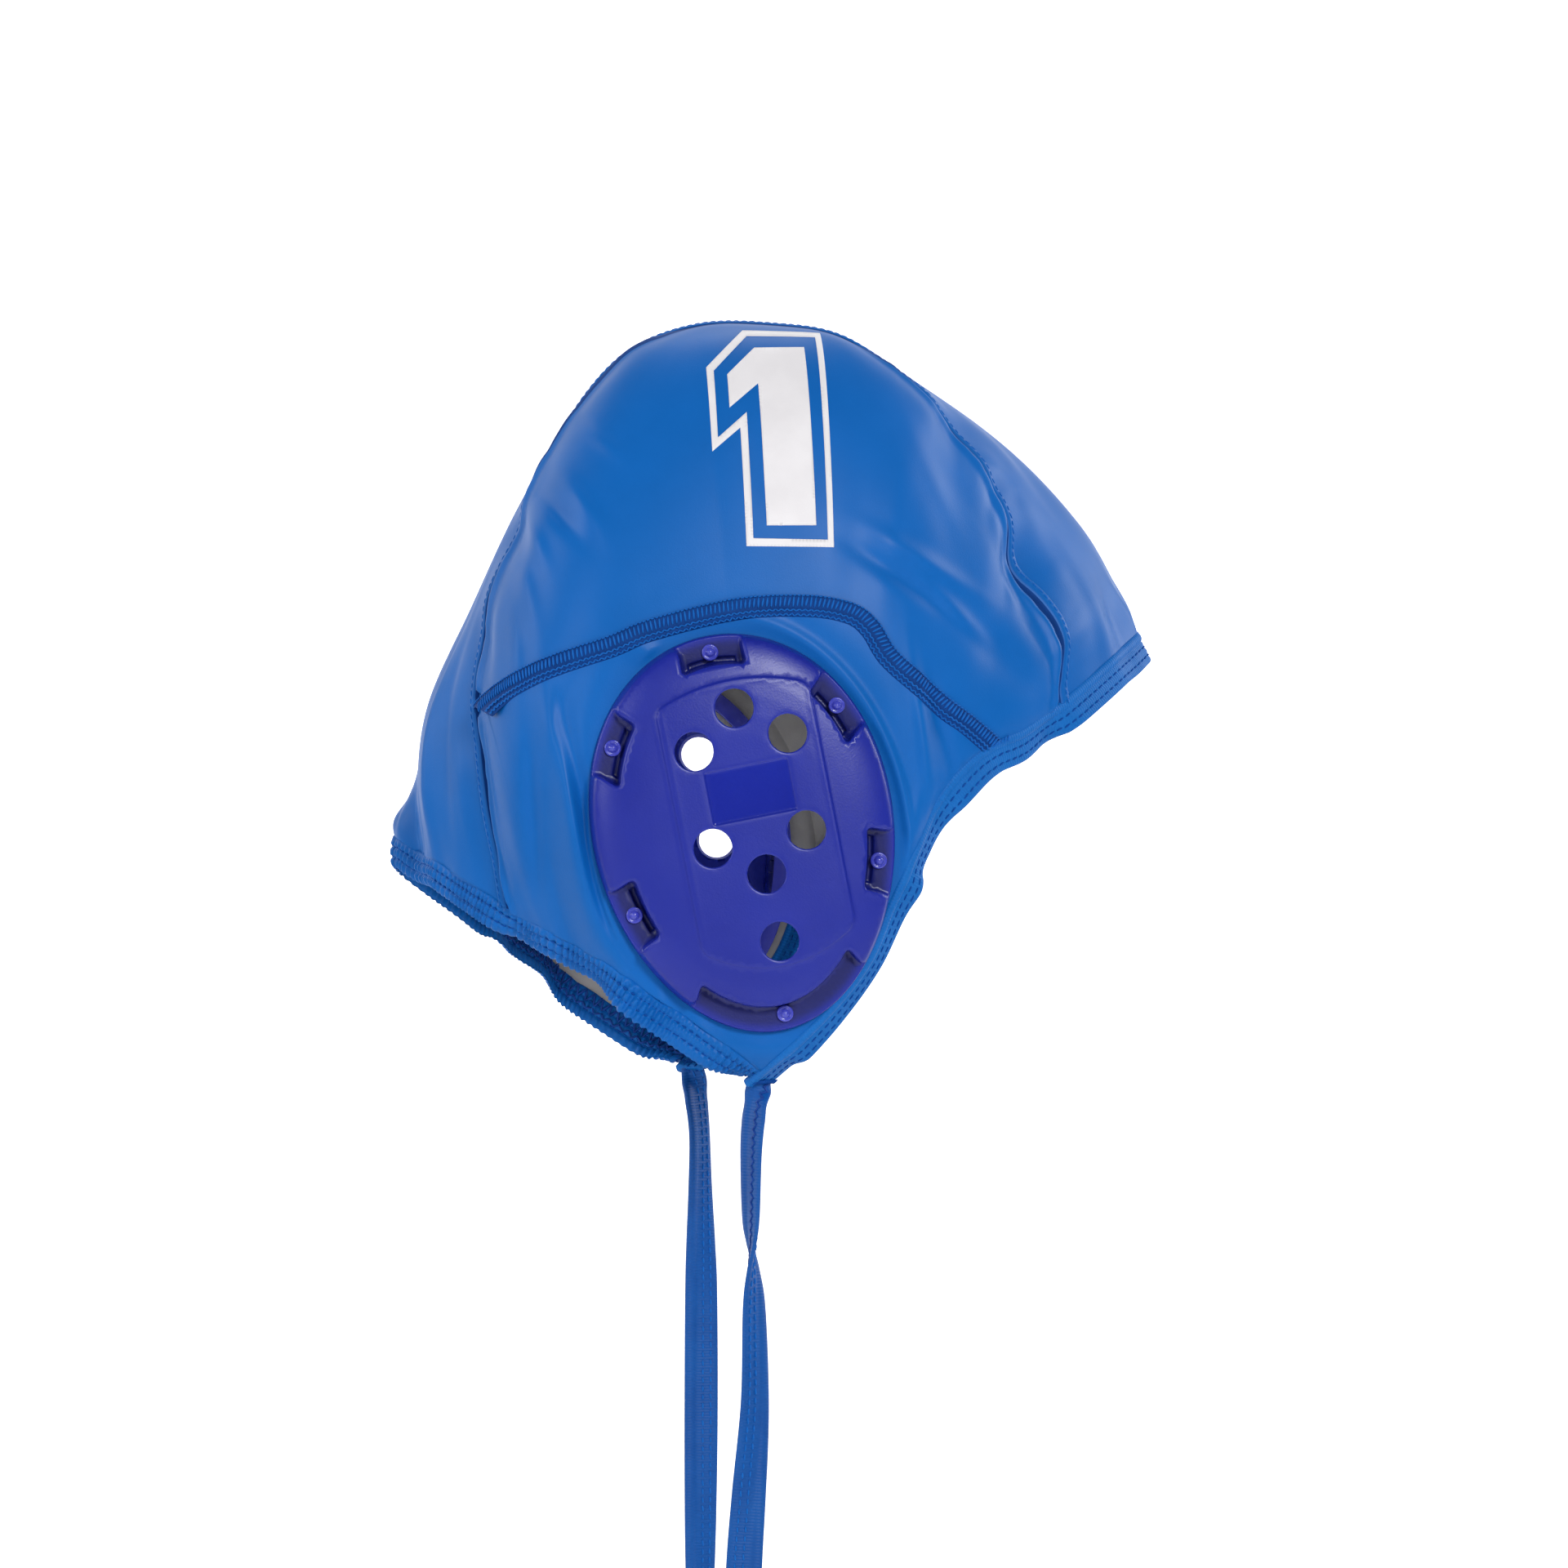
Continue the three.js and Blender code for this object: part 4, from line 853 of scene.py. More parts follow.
class StitchTree:
    """The node tree that lays stitches, loops or ribs along a line of points.

    Each one is a rounded bead of a given length, width and height, turned by an angle from the line, the
    other way on every second one where it alternates, with a little seeded irregularity.
    """

    name: str = "stitches_along_a_line"
    inputs: tuple[tuple[str, float], ...] = (
        ("Spacing", 0.002), ("Length", 0.0018), ("Width", 0.0005), ("Height", 0.0004), ("Angle", 0.0),
        ("Alternate", 0.0), ("Jitter", 0.06), ("Seed", 1.0),
    )

    def build(self) -> bpy.types.NodeTree:
        """Makes the tree, or gives the one already made."""
        found = bpy.data.node_groups.get(self.name)
        if found:
            return found
        tree = bpy.data.node_groups.new(self.name, "GeometryNodeTree")
        face = tree.interface
        face.new_socket("Geometry", in_out="INPUT", socket_type="NodeSocketGeometry")
        for name, value in self.inputs:
            face.new_socket(name, in_out="INPUT", socket_type="NodeSocketFloat").default_value = value
        face.new_socket("Material", in_out="INPUT", socket_type="NodeSocketMaterial")
        face.new_socket("Geometry", in_out="OUTPUT", socket_type="NodeSocketGeometry")
        self._wire(tree)
        return tree

    def _wire(self, tree: bpy.types.NodeTree) -> None:
        """Adds the tree's nodes and links."""
        add = functools.partial(add_node, tree)
        given = add("NodeGroupInput").outputs

        def maths(operation: str, a: object, b: object) -> bpy.types.NodeSocket:
            """A math node on two sockets or numbers."""
            return add("ShaderNodeMath", {0: a, 1: b}, operation=operation).outputs[0]

        line = add("GeometryNodeMeshToCurve", {"Mesh": given["Geometry"]})
        even = add("GeometryNodeResampleCurve", mode="LENGTH",
                   inputs={"Curve": line.outputs["Curve"], "Length": given["Spacing"]})
        points = add("GeometryNodeCurveToPoints", {"Curve": even.outputs["Curve"]}, mode="EVALUATED")
        up = add("GeometryNodeInputNamedAttribute", {"Name": "up"}, data_type="FLOAT_VECTOR")
        along = add("FunctionNodeAlignRotationToVector", {"Vector": points.outputs["Tangent"]}, axis="X")
        upright = add("FunctionNodeAlignRotationToVector", axis="Z", pivot_axis="X",
                      inputs={"Rotation": along.outputs["Rotation"], "Vector": up.outputs["Attribute"]})
        index = add("GeometryNodeInputIndex").outputs["Index"]
        odd = maths("SUBTRACT", maths("MULTIPLY", maths("MODULO", index, 2.0), 2.0), 1.0)
        steady = maths("SUBTRACT", 1.0, given["Alternate"])
        way = maths("ADD", steady, maths("MULTIPLY", given["Alternate"], odd))
        noise = add("FunctionNodeRandomValue", {2: -1.0, 3: 1.0, "Seed": given["Seed"]})
        wobble = maths("MULTIPLY", noise.outputs[1], given["Jitter"])
        angle = maths("ADD", maths("MULTIPLY", given["Angle"], way), wobble)
        turn = add("ShaderNodeCombineXYZ", {"Z": angle})
        euler = add("FunctionNodeEulerToRotation", {0: turn.outputs[0]})
        rotate = add("FunctionNodeRotateRotation", rotation_space="LOCAL",
                     inputs={"Rotation": upright.outputs["Rotation"], "Rotate By": euler.outputs[0]})
        ball = add("GeometryNodeMeshUVSphere", {"Segments": 8, "Rings": 5, "Radius": 0.5})
        length = maths("MULTIPLY", given["Length"], maths("ADD", 1.0, wobble))
        size = add("ShaderNodeCombineXYZ", {"X": length, "Y": given["Width"], "Z": given["Height"]})
        place = add("GeometryNodeInstanceOnPoints", {
            "Points": points.outputs["Points"], "Instance": ball.outputs["Mesh"],
            "Rotation": rotate.outputs[0], "Scale": size.outputs[0]})
        real = add("GeometryNodeRealizeInstances", {"Geometry": place.outputs["Instances"]})
        shade = add("GeometryNodeSetShadeSmooth", {"Geometry": real.outputs["Geometry"]})
        dress = add("GeometryNodeSetMaterial", {"Geometry": shade.outputs["Geometry"],
                                                "Material": given["Material"]})
        add("NodeGroupOutput", {"Geometry": dress.outputs["Geometry"]})


@dataclass
class StitchRow:
    """A row of stitches along a line: its sizes in millimetres, its angle in degrees and its thread."""

    spacing: float
    length: float
    width: float = 0.45
    height: float = 0.4
    angle: float = 0.0
    alternate: bool = False
    jitter: float = 0.06
    seed: int = 1
    # The default thread is dark: painted shade of the stitch holes.
    finish: Finish = SHADED_STITCH

    @staticmethod
    def _source(name: str, lines: list[tuple[Array, Array]]) -> bpy.types.Object:
        """An object of bare edges along the lines, with their upward directions as its attribute up."""
        edges, start = [], 0
        for points, _ in lines:
            edges += [(start + i, start + i + 1) for i in range(len(points) - 1)]
            start += len(points)
        mesh = bpy.data.meshes.new(name)
        mesh.from_pydata((np.vstack([points for points, _ in lines]) * MM).tolist(), edges, [])
        ups = np.vstack([up for _, up in lines]).astype(np.float32)
        mesh.attributes.new("up", "FLOAT_VECTOR", "POINT").data.foreach_set("vector", ups.ravel())
        return add_object(name + "_line", mesh)

    def lay(self, name: str, lines: list[tuple[Array, Array]]) -> bpy.types.Object:
        """Lays the row along lines.

        Args:
            name: Name of the piece.
            lines: Points and upward directions of each line, in millimetres.

        Returns:
            A plain mesh of the whole row.
        """
        source = self._source(name, lines)
        modifier = source.modifiers.new("stitches", "NODES")
        tree = StitchTree().build()
        modifier.node_group = tree
        values = {
            "Spacing": self.spacing * MM, "Length": self.length * MM, "Width": self.width * MM,
            "Height": self.height * MM, "Angle": math.radians(self.angle),
            "Alternate": float(self.alternate), "Jitter": self.jitter, "Seed": float(self.seed),
            "Material": self.finish.build(),
        }
        for item in tree.interface.items_tree:
            if item.item_type == "SOCKET" and item.in_out == "INPUT" and item.name in values:
                modifier[item.identifier] = values[item.name]
        graph = bpy.context.evaluated_depsgraph_get()
        made = bpy.data.meshes.new_from_object(source.evaluated_get(graph))
        bpy.data.objects.remove(source)
        return add_object(name, made)


def join(objects: list[bpy.types.Object], name: str) -> bpy.types.Object:
    """Joins meshes into the first one and gives it a name."""
    with bpy.context.temp_override(active_object=objects[0], object=objects[0],
                                   selected_editable_objects=objects, selected_objects=objects):
        bpy.ops.object.join()
    objects[0].name = name
    return objects[0]


def hand_over(obj: bpy.types.Object, slot: str, *nodes: str) -> bpy.types.Object:
    """Gives a finished piece to the frame and hides the CAD nodes that it stands for."""
    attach(obj, "root")
    if nodes:
        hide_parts(*nodes)
    log.info("%s: %d faces", obj.name, len(obj.data.polygons))
    return obj


@dataclass(frozen=True)
class Cut:
    """The flat cut that a cloth piece or tape is made from, in millimetres.

    share is the share of width times length that the cut covers, rests_on what it is sewn to or hangs from,
    and carries the pieces sewn or printed on it.
    """

    piece: str
    width: float
    length: float
    share: float
    held: str
    rests_on: tuple[str, ...]
    carries: tuple[str, ...] = ()

    def declare(self) -> None:
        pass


def two_faced(face: list[tuple[float, float]]) -> Array:
    """A closed section from its front face's points, with the same points mirrored for the back."""
    return np.array(face + [(x, -y) for x, y in face[1:-1]][::-1])


@dataclass
class Panels:
    """The cloth: the crown panel and, on each side, the number panel and the ear panel.

    Beside a crown seam the cloth stands up in a lip at lip_reach and rolls down by roll at its edge. The lip
    is lower by the share calm above the ear and whole again from calm_from on, in millimetres fore and aft.
    ear_hole is the opening behind the guard as a share of its outline, and seam_end the station where the
    flatlock seam meets the crown seam.
    """

    surface: CapSurface
    wall: float = 1.3
    lip_height: float = 1.35
    lip_reach: float = 2.6
    lip_width: float = 2.0
    roll: float = 2.4
    roll_width: float = 0.9
    calm: float = 0.85
    calm_from: tuple[float, float] = (22, 36)
    ear_hole: float = 0.82
    seam_end: float = 14.05
    # Rows at the seam that take the dark seam colour as painted shade.
    shade_columns: int = 3
    seed: int = 7

    def _pucker(self, length: Array, seed: int, period: float = 9.0) -> Array:
        """Irregular waves from -1 to 1 along a seam's running length."""
        random = np.random.default_rng(seed)
        knots = random.uniform(-1, 1, int(length.max() / period) + 4)
        return spline(knots[:, None], length / period)[..., 0]

    def _seam_edge(self, points: Array, normals: Array, seed: int) -> Array:
        """Raises a soft lip along the first row's edge, rolled down at the seam itself.

        Args:
            points: Columns of points that start at the seam.
            normals: Their outward normals.
            seed: Seed of the puckers.

        Returns:
            The points, moved along their normals.
        """
        away = np.linalg.norm(points - points[:, :1], axis=-1)
        run = running(points[:, 0])
        wave = self._pucker(run, seed)[:, None]
        fine = self._pucker(run, seed + 5, 3.2)[:, None]
        calm = 1 - self.calm * (1 - smooth(*self.calm_from, np.abs(points[..., 0])))
        lip = calm * self.lip_height * (1 + 0.3 * wave) * bell(away - self.lip_reach, self.lip_width)
        roll = self.roll * np.exp(-(away / self.roll_width) ** 1.4)
        ripple = 0.3 * fine * np.exp(-away / 4) + 0.5 * wave * bell(away - 7, 5)
        wide = smooth(0, 8, away.max(1))[:, None]
        return points + normals * (wide * (lip + calm * ripple - roll))[..., None]

    def number_panel(self, side: Side) -> bpy.types.Object:
        """The side cloth above the flatlock seam."""
        s = np.linspace(0.0, self.seam_end - 0.01, 280)
        share = self.surface.flatlock_share(s)
        rows = np.linspace(0, 1, 84) ** 1.5
        station = np.repeat(s[:, None], len(rows), 1)
        down = share[:, None] * rows[None]
        points = self.surface.side(station, down)
        normals = self.surface.side_normal(station, down)
        points = self._seam_edge(points, normals, self.seed)
        # The first rows at the seam take the dark seam colour: painted shade in the groove.
        piece = MeshPiece(f"number_panel_cloth_{side.word}", [CLOTH_FACE, CLOTH_REVERSE, SEAM_SHADE])
        verts = self.surface.to_side(points.reshape(-1, 3), side)
        shade_slots = np.tile(np.arange(len(rows) - 1) < self.shade_columns, len(s) - 1) * 2
        obj = piece.make(verts, grid_faces(len(s), len(rows), flip=side is Side.RIGHT), slots=shade_slots)
        tidy_mesh(obj)
        solidify(obj, self.wall, 1)
        return hand_over(obj, "cloth", f"number_panel_{side.word}")

    def ear_panel(self, side: Side) -> bpy.types.Object:
        """The ear flap below the flatlock seam, cut open behind the guard."""
        guard = self.surface.guard
        s = np.concatenate([np.linspace(2.02, TIP, 170), np.linspace(TIP, LAST - 0.02, 150)[1:]])
        share = self.surface.flatlock_share(s)
        share[s > self.seam_end + 0.05] = 0
        t = np.linspace(0, 1, 96)
        rows = t - 0.11 * np.sin(2 * np.pi * t) / np.pi
        station = np.repeat(s[:, None], len(rows), 1)
        down = share[:, None] + (1 - share[:, None]) * rows[None]
        points = self.surface.side(station, down)
        normals = self.surface.side_normal(station, down)
        seam = (s > self.seam_end)[:, None, None]
        points = np.where(seam, self._seam_edge(points, normals, self.seed + 1), points)
        points = points + normals * self._gathers(points)[..., None]
        flat = points.reshape(-1, 3)
        at = guard.share(flat[:, 0], flat[:, 2])
        inside = at < self.ear_hole
        faces = [f for f in grid_faces(len(s), len(rows)) if not all(inside[i] for i in f)]
        grow = (self.ear_hole / np.maximum(at, 1e-3))[:, None]
        snapped = guard.middle + (flat - guard.middle) * grow
        flat = np.where(inside[:, None] & (at > 0.5)[:, None], snapped, flat)
        if side is Side.RIGHT:
            faces = [f[::-1] for f in faces]
        piece = MeshPiece(f"ear_panel_cloth_{side.word}", [CLOTH_FACE, CLOTH_REVERSE])
        obj = piece.make(self.surface.to_side(flat, side), faces)
        tidy_mesh(obj)
        solidify(obj, self.wall, 1)
        return hand_over(obj, "cloth", f"ear_panel_{side.word}")

    def _gathers(self, points: Array) -> Array:
        """Small pleats that run up from the elastic hem round the nape."""
        run = running(points[:, -1])
        above = np.linalg.norm(points - points[:, -1:], axis=-1)
        wave = self._pucker(run, self.seed + 3, 3.6)[:, None]
        broad = self._pucker(run, self.seed + 4, 8.0)[:, None]
        nape = smooth(TIP + 0.3, TIP + 1.5, np.linspace(2, LAST, len(run)))[:, None]
        nape = nape * smooth(0, 7, np.linalg.norm(points - points[:, :1], axis=-1))
        return nape * (0.5 * wave * np.exp(-above / 5) + 0.9 * broad * np.exp(-above / 12))

    def crown_panel(self) -> bpy.types.Object:
        """The strip over the crown from forehead to nape."""
        s = np.linspace(0, LAST, 330)
        t = np.linspace(-1, 1, 81)
        a = np.sin(t * np.pi / 2 * 0.94) / math.sin(math.pi / 2 * 0.94)
        station, across = np.meshgrid(s, a, indexing="ij")
        half = spline(self.surface.seam_rows, s)[:, 2][:, None]
        across = across * (1 - SEAM_GAP / half)
        points = self.surface.crown(station, across)
        normals = self.surface.crown_normal(station, across)
        from_edge = half * (1 - np.abs(across))
        run = running(points[:, len(t) // 2])
        wave = np.where(across < 0, self._pucker(run, 21, 8)[:, None], self._pucker(run, 22, 8)[:, None])
        edge = 0.35 * wave * bell(from_edge - 7, 4) - 0.6 * bell(from_edge, 1.2)
        above = run[-1] - run[:, None]
        aside = np.abs(across * half) + (across < 0) * 90
        pleat, broad = self._pucker(aside, 31, 3.4), self._pucker(aside, 32, 9.0)
        pleats = 0.55 * pleat * np.exp(-above / 5) + 1.0 * broad * np.exp(-above / 16)
        edge = edge + pleats * smooth(0, 7, from_edge)
        points = points + normals * edge[..., None]
        piece = MeshPiece("crown_panel_cloth", [CLOTH_FACE, CLOTH_REVERSE])
        verts = self.surface.swayed(points.reshape(-1, 3))
        obj = piece.make(verts, grid_faces(len(s), len(a)))
        tidy_mesh(obj)
        solidify(obj, self.wall, 1)
        return hand_over(obj, "cloth", "crown_panel")

    def build(self) -> None:
        """Makes all five panels."""
        self.crown_panel()
        for side in Side:
            self.number_panel(side)
            self.ear_panel(side)


@dataclass
class CrownSeam:
    """The narrow stitched-down edge of the crown panel beside each crown seam, with its row of stitches.

    insets and heights give the strip's section from the seam inwards, its first few columns painted dark as
    the shade in the groove at the seam.
    """

    surface: CapSurface
    stitches_at: float = 2.3
    insets: tuple[float, ...] = (-1.0, -0.4, 0.2, 0.6, 0.95, 1.4, 2.1, 2.6, 2.9, 3.2)
    heights: tuple[float, ...] = (-0.9, -1.1, -1.2, -0.2, 0.5, 0.85, 0.85, 0.75, 0.45, -0.4)
    shade_columns: int = 4

    def _across(self, s: Array, inset: float, side: Side) -> Array:
        """The across share of a line that runs at an inset from the seam."""
        half = spline(self.surface.seam_rows, s)[:, 2]
        return side.value * (half - inset) / half

    def build(self, side: Side) -> bpy.types.Object:
        """Makes one strip with its stitch row."""
        s = np.linspace(0.0, LAST, 430)
        columns = []
        for inset, height in zip(self.insets, self.heights):
            a = self._across(s, inset, side)
            columns.append(self.surface.crown(s, a) + self.surface.crown_normal(s, a) * height)
        points = np.stack(columns, 1)
        # The first columns at the seam take the dark seam colour: painted shade in the groove.
        piece = MeshPiece(f"crown_seam_edge_{side.word}", [CLOTH_FACE, SEAM_SHADE])
        faces = grid_faces(len(s), len(columns), flip=side is Side.LEFT)
        shade_slots = np.tile(np.arange(len(columns) - 1) < self.shade_columns, len(s) - 1)
        strip = piece.make(self.surface.swayed(points.reshape(-1, 3)), faces, slots=shade_slots)
        solidify(strip, 0.3)
        hand_over(strip, "cloth", f"crown_seam_{side.word}")
        a = self._across(s, self.stitches_at, side)
        up = self.surface.crown_normal(s, a)
        line = self.surface.swayed(self.surface.crown(s, a) + up * 0.8)
        row = StitchRow(2.3, 1.9, 0.55, 0.5, angle=6, jitter=0.14, seed=3, finish=THREAD)
        return hand_over(row.lay(f"crown_seam_stitches_{side.word}", [(line, up)]), "thread")


@dataclass
class FlatlockSeam:
    """The wide flatlock seam over the ear: a low ridge under a ladder of loops and short stitches."""

    surface: CapSurface
    width: float = 6.6
    start_rise: float = 1.4
    start_reach: float = 3.5

    def _line(self, offset: float, lift: float, side: Side, inset: float = 0.0) -> tuple[Array, Array]:
        """Points and normals along the seam.

        Args:
            offset: Distance up from the seam's middle line.
            lift: Height over the cloth.
            side: The side of the cap.
            inset: Share of a knot left out at both ends.

        Returns:
            Points and outward normals on that side.
        """
        at = np.linspace(inset, len(FLATLOCK) - 1.0 - inset, 320)
        line = spline(self.surface.flatlock, at)
        from_start = np.linalg.norm(line - line[0], axis=-1)[:, None]
        lift = lift + self.start_rise * bell(from_start, self.start_reach)
        way = unit(np.gradient(line, axis=0))
        line = line + np.stack([-way[:, 1], way[:, 0]], -1) * offset
        points, normals = self.surface.on_side(line[:, 0], line[:, 1], lift)
        mirrored = normals * ([1, 1, 1] if side is Side.RIGHT else [1, -1, 1])
        return self.surface.to_side(points, side), mirrored

    def build(self, side: Side) -> None:
        """Makes the ridge and its threads on one side."""
        offsets = np.linspace(-0.5, 0.5, 15) * self.width
        profile = 0.55 * np.clip(1 - np.abs(offsets / (self.width / 2)) ** 6, 0, 1) - 0.1
        profile = profile - 0.22 * bell(offsets + 0.9, 0.35)
        rows = [self._line(o, h, side)[0] for o, h in zip(offsets, profile)]
        points = np.stack(rows, 1)
        # The ridge takes the dark seam colour: painted shade between the loops.
        piece = MeshPiece(f"flatlock_ridge_{side.word}", [SEAM_SHADE])
        ridge = piece.make(points.reshape(-1, 3), grid_faces(*points.shape[:2], flip=side is Side.RIGHT))
        solidify(ridge, 0.3)
        hand_over(ridge, "thread", f"flatlock_seam_{side.word}")
        flip = 1 if side is Side.RIGHT else -1
        rows = (
            StitchRow(1.25, 3.3, 0.72, 0.85, 80 * flip, jitter=0.09, seed=11, finish=THREAD),
            StitchRow(0.85, 1.5, 0.55, 0.75, 32, True, jitter=0.12, seed=12, finish=THREAD),
            StitchRow(0.85, 1.5, 0.5, 0.65, 40, True, jitter=0.14, seed=13, finish=THREAD),
            StitchRow(1.25, 1.15, 0.55, 0.6, 8, jitter=0.12, seed=14, finish=THREAD),
        )
        places = ((1.2, 0.55), (-1.25, 0.6), (-2.55, 0.45), (3.0, 0.42))
        loops = [row.lay("loops", [self._line(offset, lift, side, 0.1)])
                 for row, (offset, lift) in zip(rows, places)]
        hand_over(join(loops, f"flatlock_threads_{side.word}"), "thread")


@dataclass
class FrontBinding:
    """The ribbed tape folded over the front edge, with two rows of stitches and a bar tack at each flap."""

    surface: CapSurface
    width: float = 9.0
    half_thickness: float = 1.4
    run_on: float = 7.0
    step: float = 0.6
    stitch_rows: tuple[float, ...] = (3.9, 6.6)
    tack_frames: tuple[int, int] = (4, -5)
    path: EdgePath = field(init=False)

    def __post_init__(self) -> None:
        """Follows the front edge."""
        self.path = EdgePath.follow(self.surface, EdgeName.FRONT, self.step, self.run_on)

    def _section(self) -> Array:
        """The tape's section: a rolled bead over the cloth's edge, a flat body and a rounded free edge."""
        face = [(-0.95, 0.0), (-0.85, 0.8), (-0.3, 1.2), (0.5, 1.38), (1.3, 1.28), (1.8, 1.0), (2.2, 0.7),
                (2.7, 0.95), (3.9, 0.68), (5.2, 1.05), (6.6, 0.68), (7.7, 0.98), (8.4, 0.85), (8.85, 0.5),
                (9.0, 0.0)]
        return two_faced(face) * [1, self.half_thickness / 1.3]

    def build(self) -> None:
        """Makes the tape, its stitches and the bar tacks."""
        path = self.path
        section = self._section()
        middle, out, normal = path.middle[:, None], path.out[:, None], path.normal[:, None]
        points = self.surface.swayed(middle + out * section[:, :1] + normal * section[:, 1:])
        piece = MeshPiece("front_binding_tape", [TAPE])
        tape = band_mesh(piece, points, path.length, running(section), flip=False)
        hand_over(tape, "tape", "front_binding")
        lines = [(self.surface.swayed(at), up) for at, up in path.both_faces(self.stitch_rows, 0.9)]
        row = StitchRow(spacing=2.7, length=2.0, width=0.55, height=0.5, angle=5, jitter=0.1, seed=5)
        straight = row.lay("front_binding_stitches", lines)
        tacks = StitchRow(0.5, 2.6, 0.5, 0.6, 88, jitter=0.1, seed=15).lay("tacks", self._tack_lines())
        hand_over(join([straight, tacks], "front_binding_stitches"), "thread")

    def _tack_lines(self) -> list[tuple[Array, Array]]:
        """Lines across the tape on both its faces, near its two ends."""
        path, lines = self.path, []
        reach = np.linspace(0.3, 8.6, 30)[:, None]
        for end in self.tack_frames:
            for way in (1, -1):
                up = np.repeat(path.normal[end][None] * way, len(reach), 0)
                at = path.middle[end] + path.out[end] * reach + up * 1.25
                lines.append((self.surface.swayed(at), up))
        return lines


@dataclass
class NapeHem:
    """The gathered elastic hem: cloth turned over elastic, ribbed between two rows of stitches.

    tucked is how far it starts inside the cloth's edge, plump its half thickness, and rib the mean spacing.
    """

    surface: CapSurface
    width: float = 9.0
    tucked: float = 0.7
    plump: float = 1.45
    step: float = 0.5
    rows: tuple[float, ...] = (2.4, 5.6)
    row_width: float = 0.55
    rib: float = 2.5
    rib_height: float = 0.75
    scallop: float = 0.35
    seed: int = 17

    def build(self) -> None:
        """Makes the hem, its stitches and the loops along its inner edge."""
        path = EdgePath.follow(self.surface, EdgeName.NAPE, self.step)
        length = path.length
        random = np.random.default_rng(self.seed)
        uneven = spline(random.uniform(-1, 1, (200, 1)), length / 6)[:, 0]
        phase = np.cumsum(self.step / (self.rib * (1 + 0.35 * uneven))) * 2 * np.pi
        strength = 0.8 + 0.5 * spline(random.uniform(-1, 1, (120, 1)), length / 9)[:, 0]
        ends = smooth(0, 6, length) * smooth(0, 6, length[-1] - length)
        t = np.linspace(0, 1, 26)
        reach = -self.tucked + (self.width + self.tucked) * t
        body = np.clip(1 - np.abs(2 * t - 1) ** 3.2, 0, 1) ** 0.5
        dips = sum(bell(reach - row, self.row_width) for row in self.rows)
        plump = body * (self.plump - 0.6 * dips)
        ribs = body * (0.95 - 0.5 * dips) * smooth(-0.5, 1.5, reach)
        swell = (np.cos(phase) * strength)[:, None]
        face = (plump + ribs * swell * self.rib_height) * (0.75 + 0.25 * ends[:, None])
        aside = reach + self.scallop * swell * t ** 4
        outer = path.middle[:, None] + path.out[:, None] * aside[..., None]
        front = outer + path.normal[:, None] * face[..., None]
        back = outer - path.normal[:, None] * (face * 0.9)[..., None]
        rings = np.concatenate([front, back[:, ::-1]], 1)
        piece = MeshPiece("nape_hem_cloth", [CLOTH_FACE])
        points = self.surface.swayed(rings)
        girth = np.linspace(0, 20, rings.shape[1])
        hem = band_mesh(piece, points, length, girth, flip=True)
        hand_over(hem, "cloth", "nape_hem")
        lines = [(self.surface.swayed(at), up) for at, up in path.both_faces(self.rows, 0.95)]
        row = StitchRow(spacing=2.5, length=1.9, width=0.55, height=0.55, jitter=0.1, seed=6)
        hand_over(row.lay("nape_hem_stitches", lines), "thread")
        rows = (StitchRow(1.5, 4.2, 0.75, 0.8, 70, True, jitter=0.15, seed=8, finish=OVERLOCK),
                StitchRow(1.7, 2.6, 0.7, 0.8, 40, True, jitter=0.2, seed=9, finish=OVERLOCK))
        places = (path.point(1.5, -1.5), path.point(4.6, -1.6))
        loops = [row.lay("loops", [(self.surface.swayed(at), -path.normal)])
                 for row, at in zip(rows, places)]
        hand_over(join(loops, "nape_hem_overlock"), "thread")


@dataclass(frozen=True)
class TieKnot:
    """A row of a tie's course: share down its length, offsets in tie widths and its turn in degrees."""

    down: float
    front: float
    out: float
    turn: float


TIE_RIGHT: tuple[TieKnot, ...] = (
    TieKnot(0, 0, 0, 30), TieKnot(0.04, -0.14, -0.05, 54), TieKnot(0.12, -0.26, -0.1, 62),
    TieKnot(0.24, -0.27, -0.15, 70), TieKnot(0.29, -0.25, -0.15, 84), TieKnot(0.34, -0.23, -0.15, 108),
    TieKnot(0.41, -0.2, -0.15, 129), TieKnot(0.58, -0.18, -0.12, 142), TieKnot(0.75, -0.35, -0.1, 164),
    TieKnot(0.86, -0.46, -0.1, 178), TieKnot(1, -0.55, -0.1, 184),
)
TIE_LEFT: tuple[TieKnot, ...] = (
    TieKnot(0, 0, 0, 20), TieKnot(0.05, 0.08, -0.05, 44), TieKnot(0.13, 0.2, -0.1, 53),
    TieKnot(0.24, 0.22, -0.15, 46), TieKnot(0.34, 0.23, -0.15, 32), TieKnot(0.44, 0.24, -0.12, 18),
    TieKnot(0.65, 0.24, -0.1, 9), TieKnot(0.85, 0.23, -0.1, 20), TieKnot(1, 0.22, -0.1, 34),
)


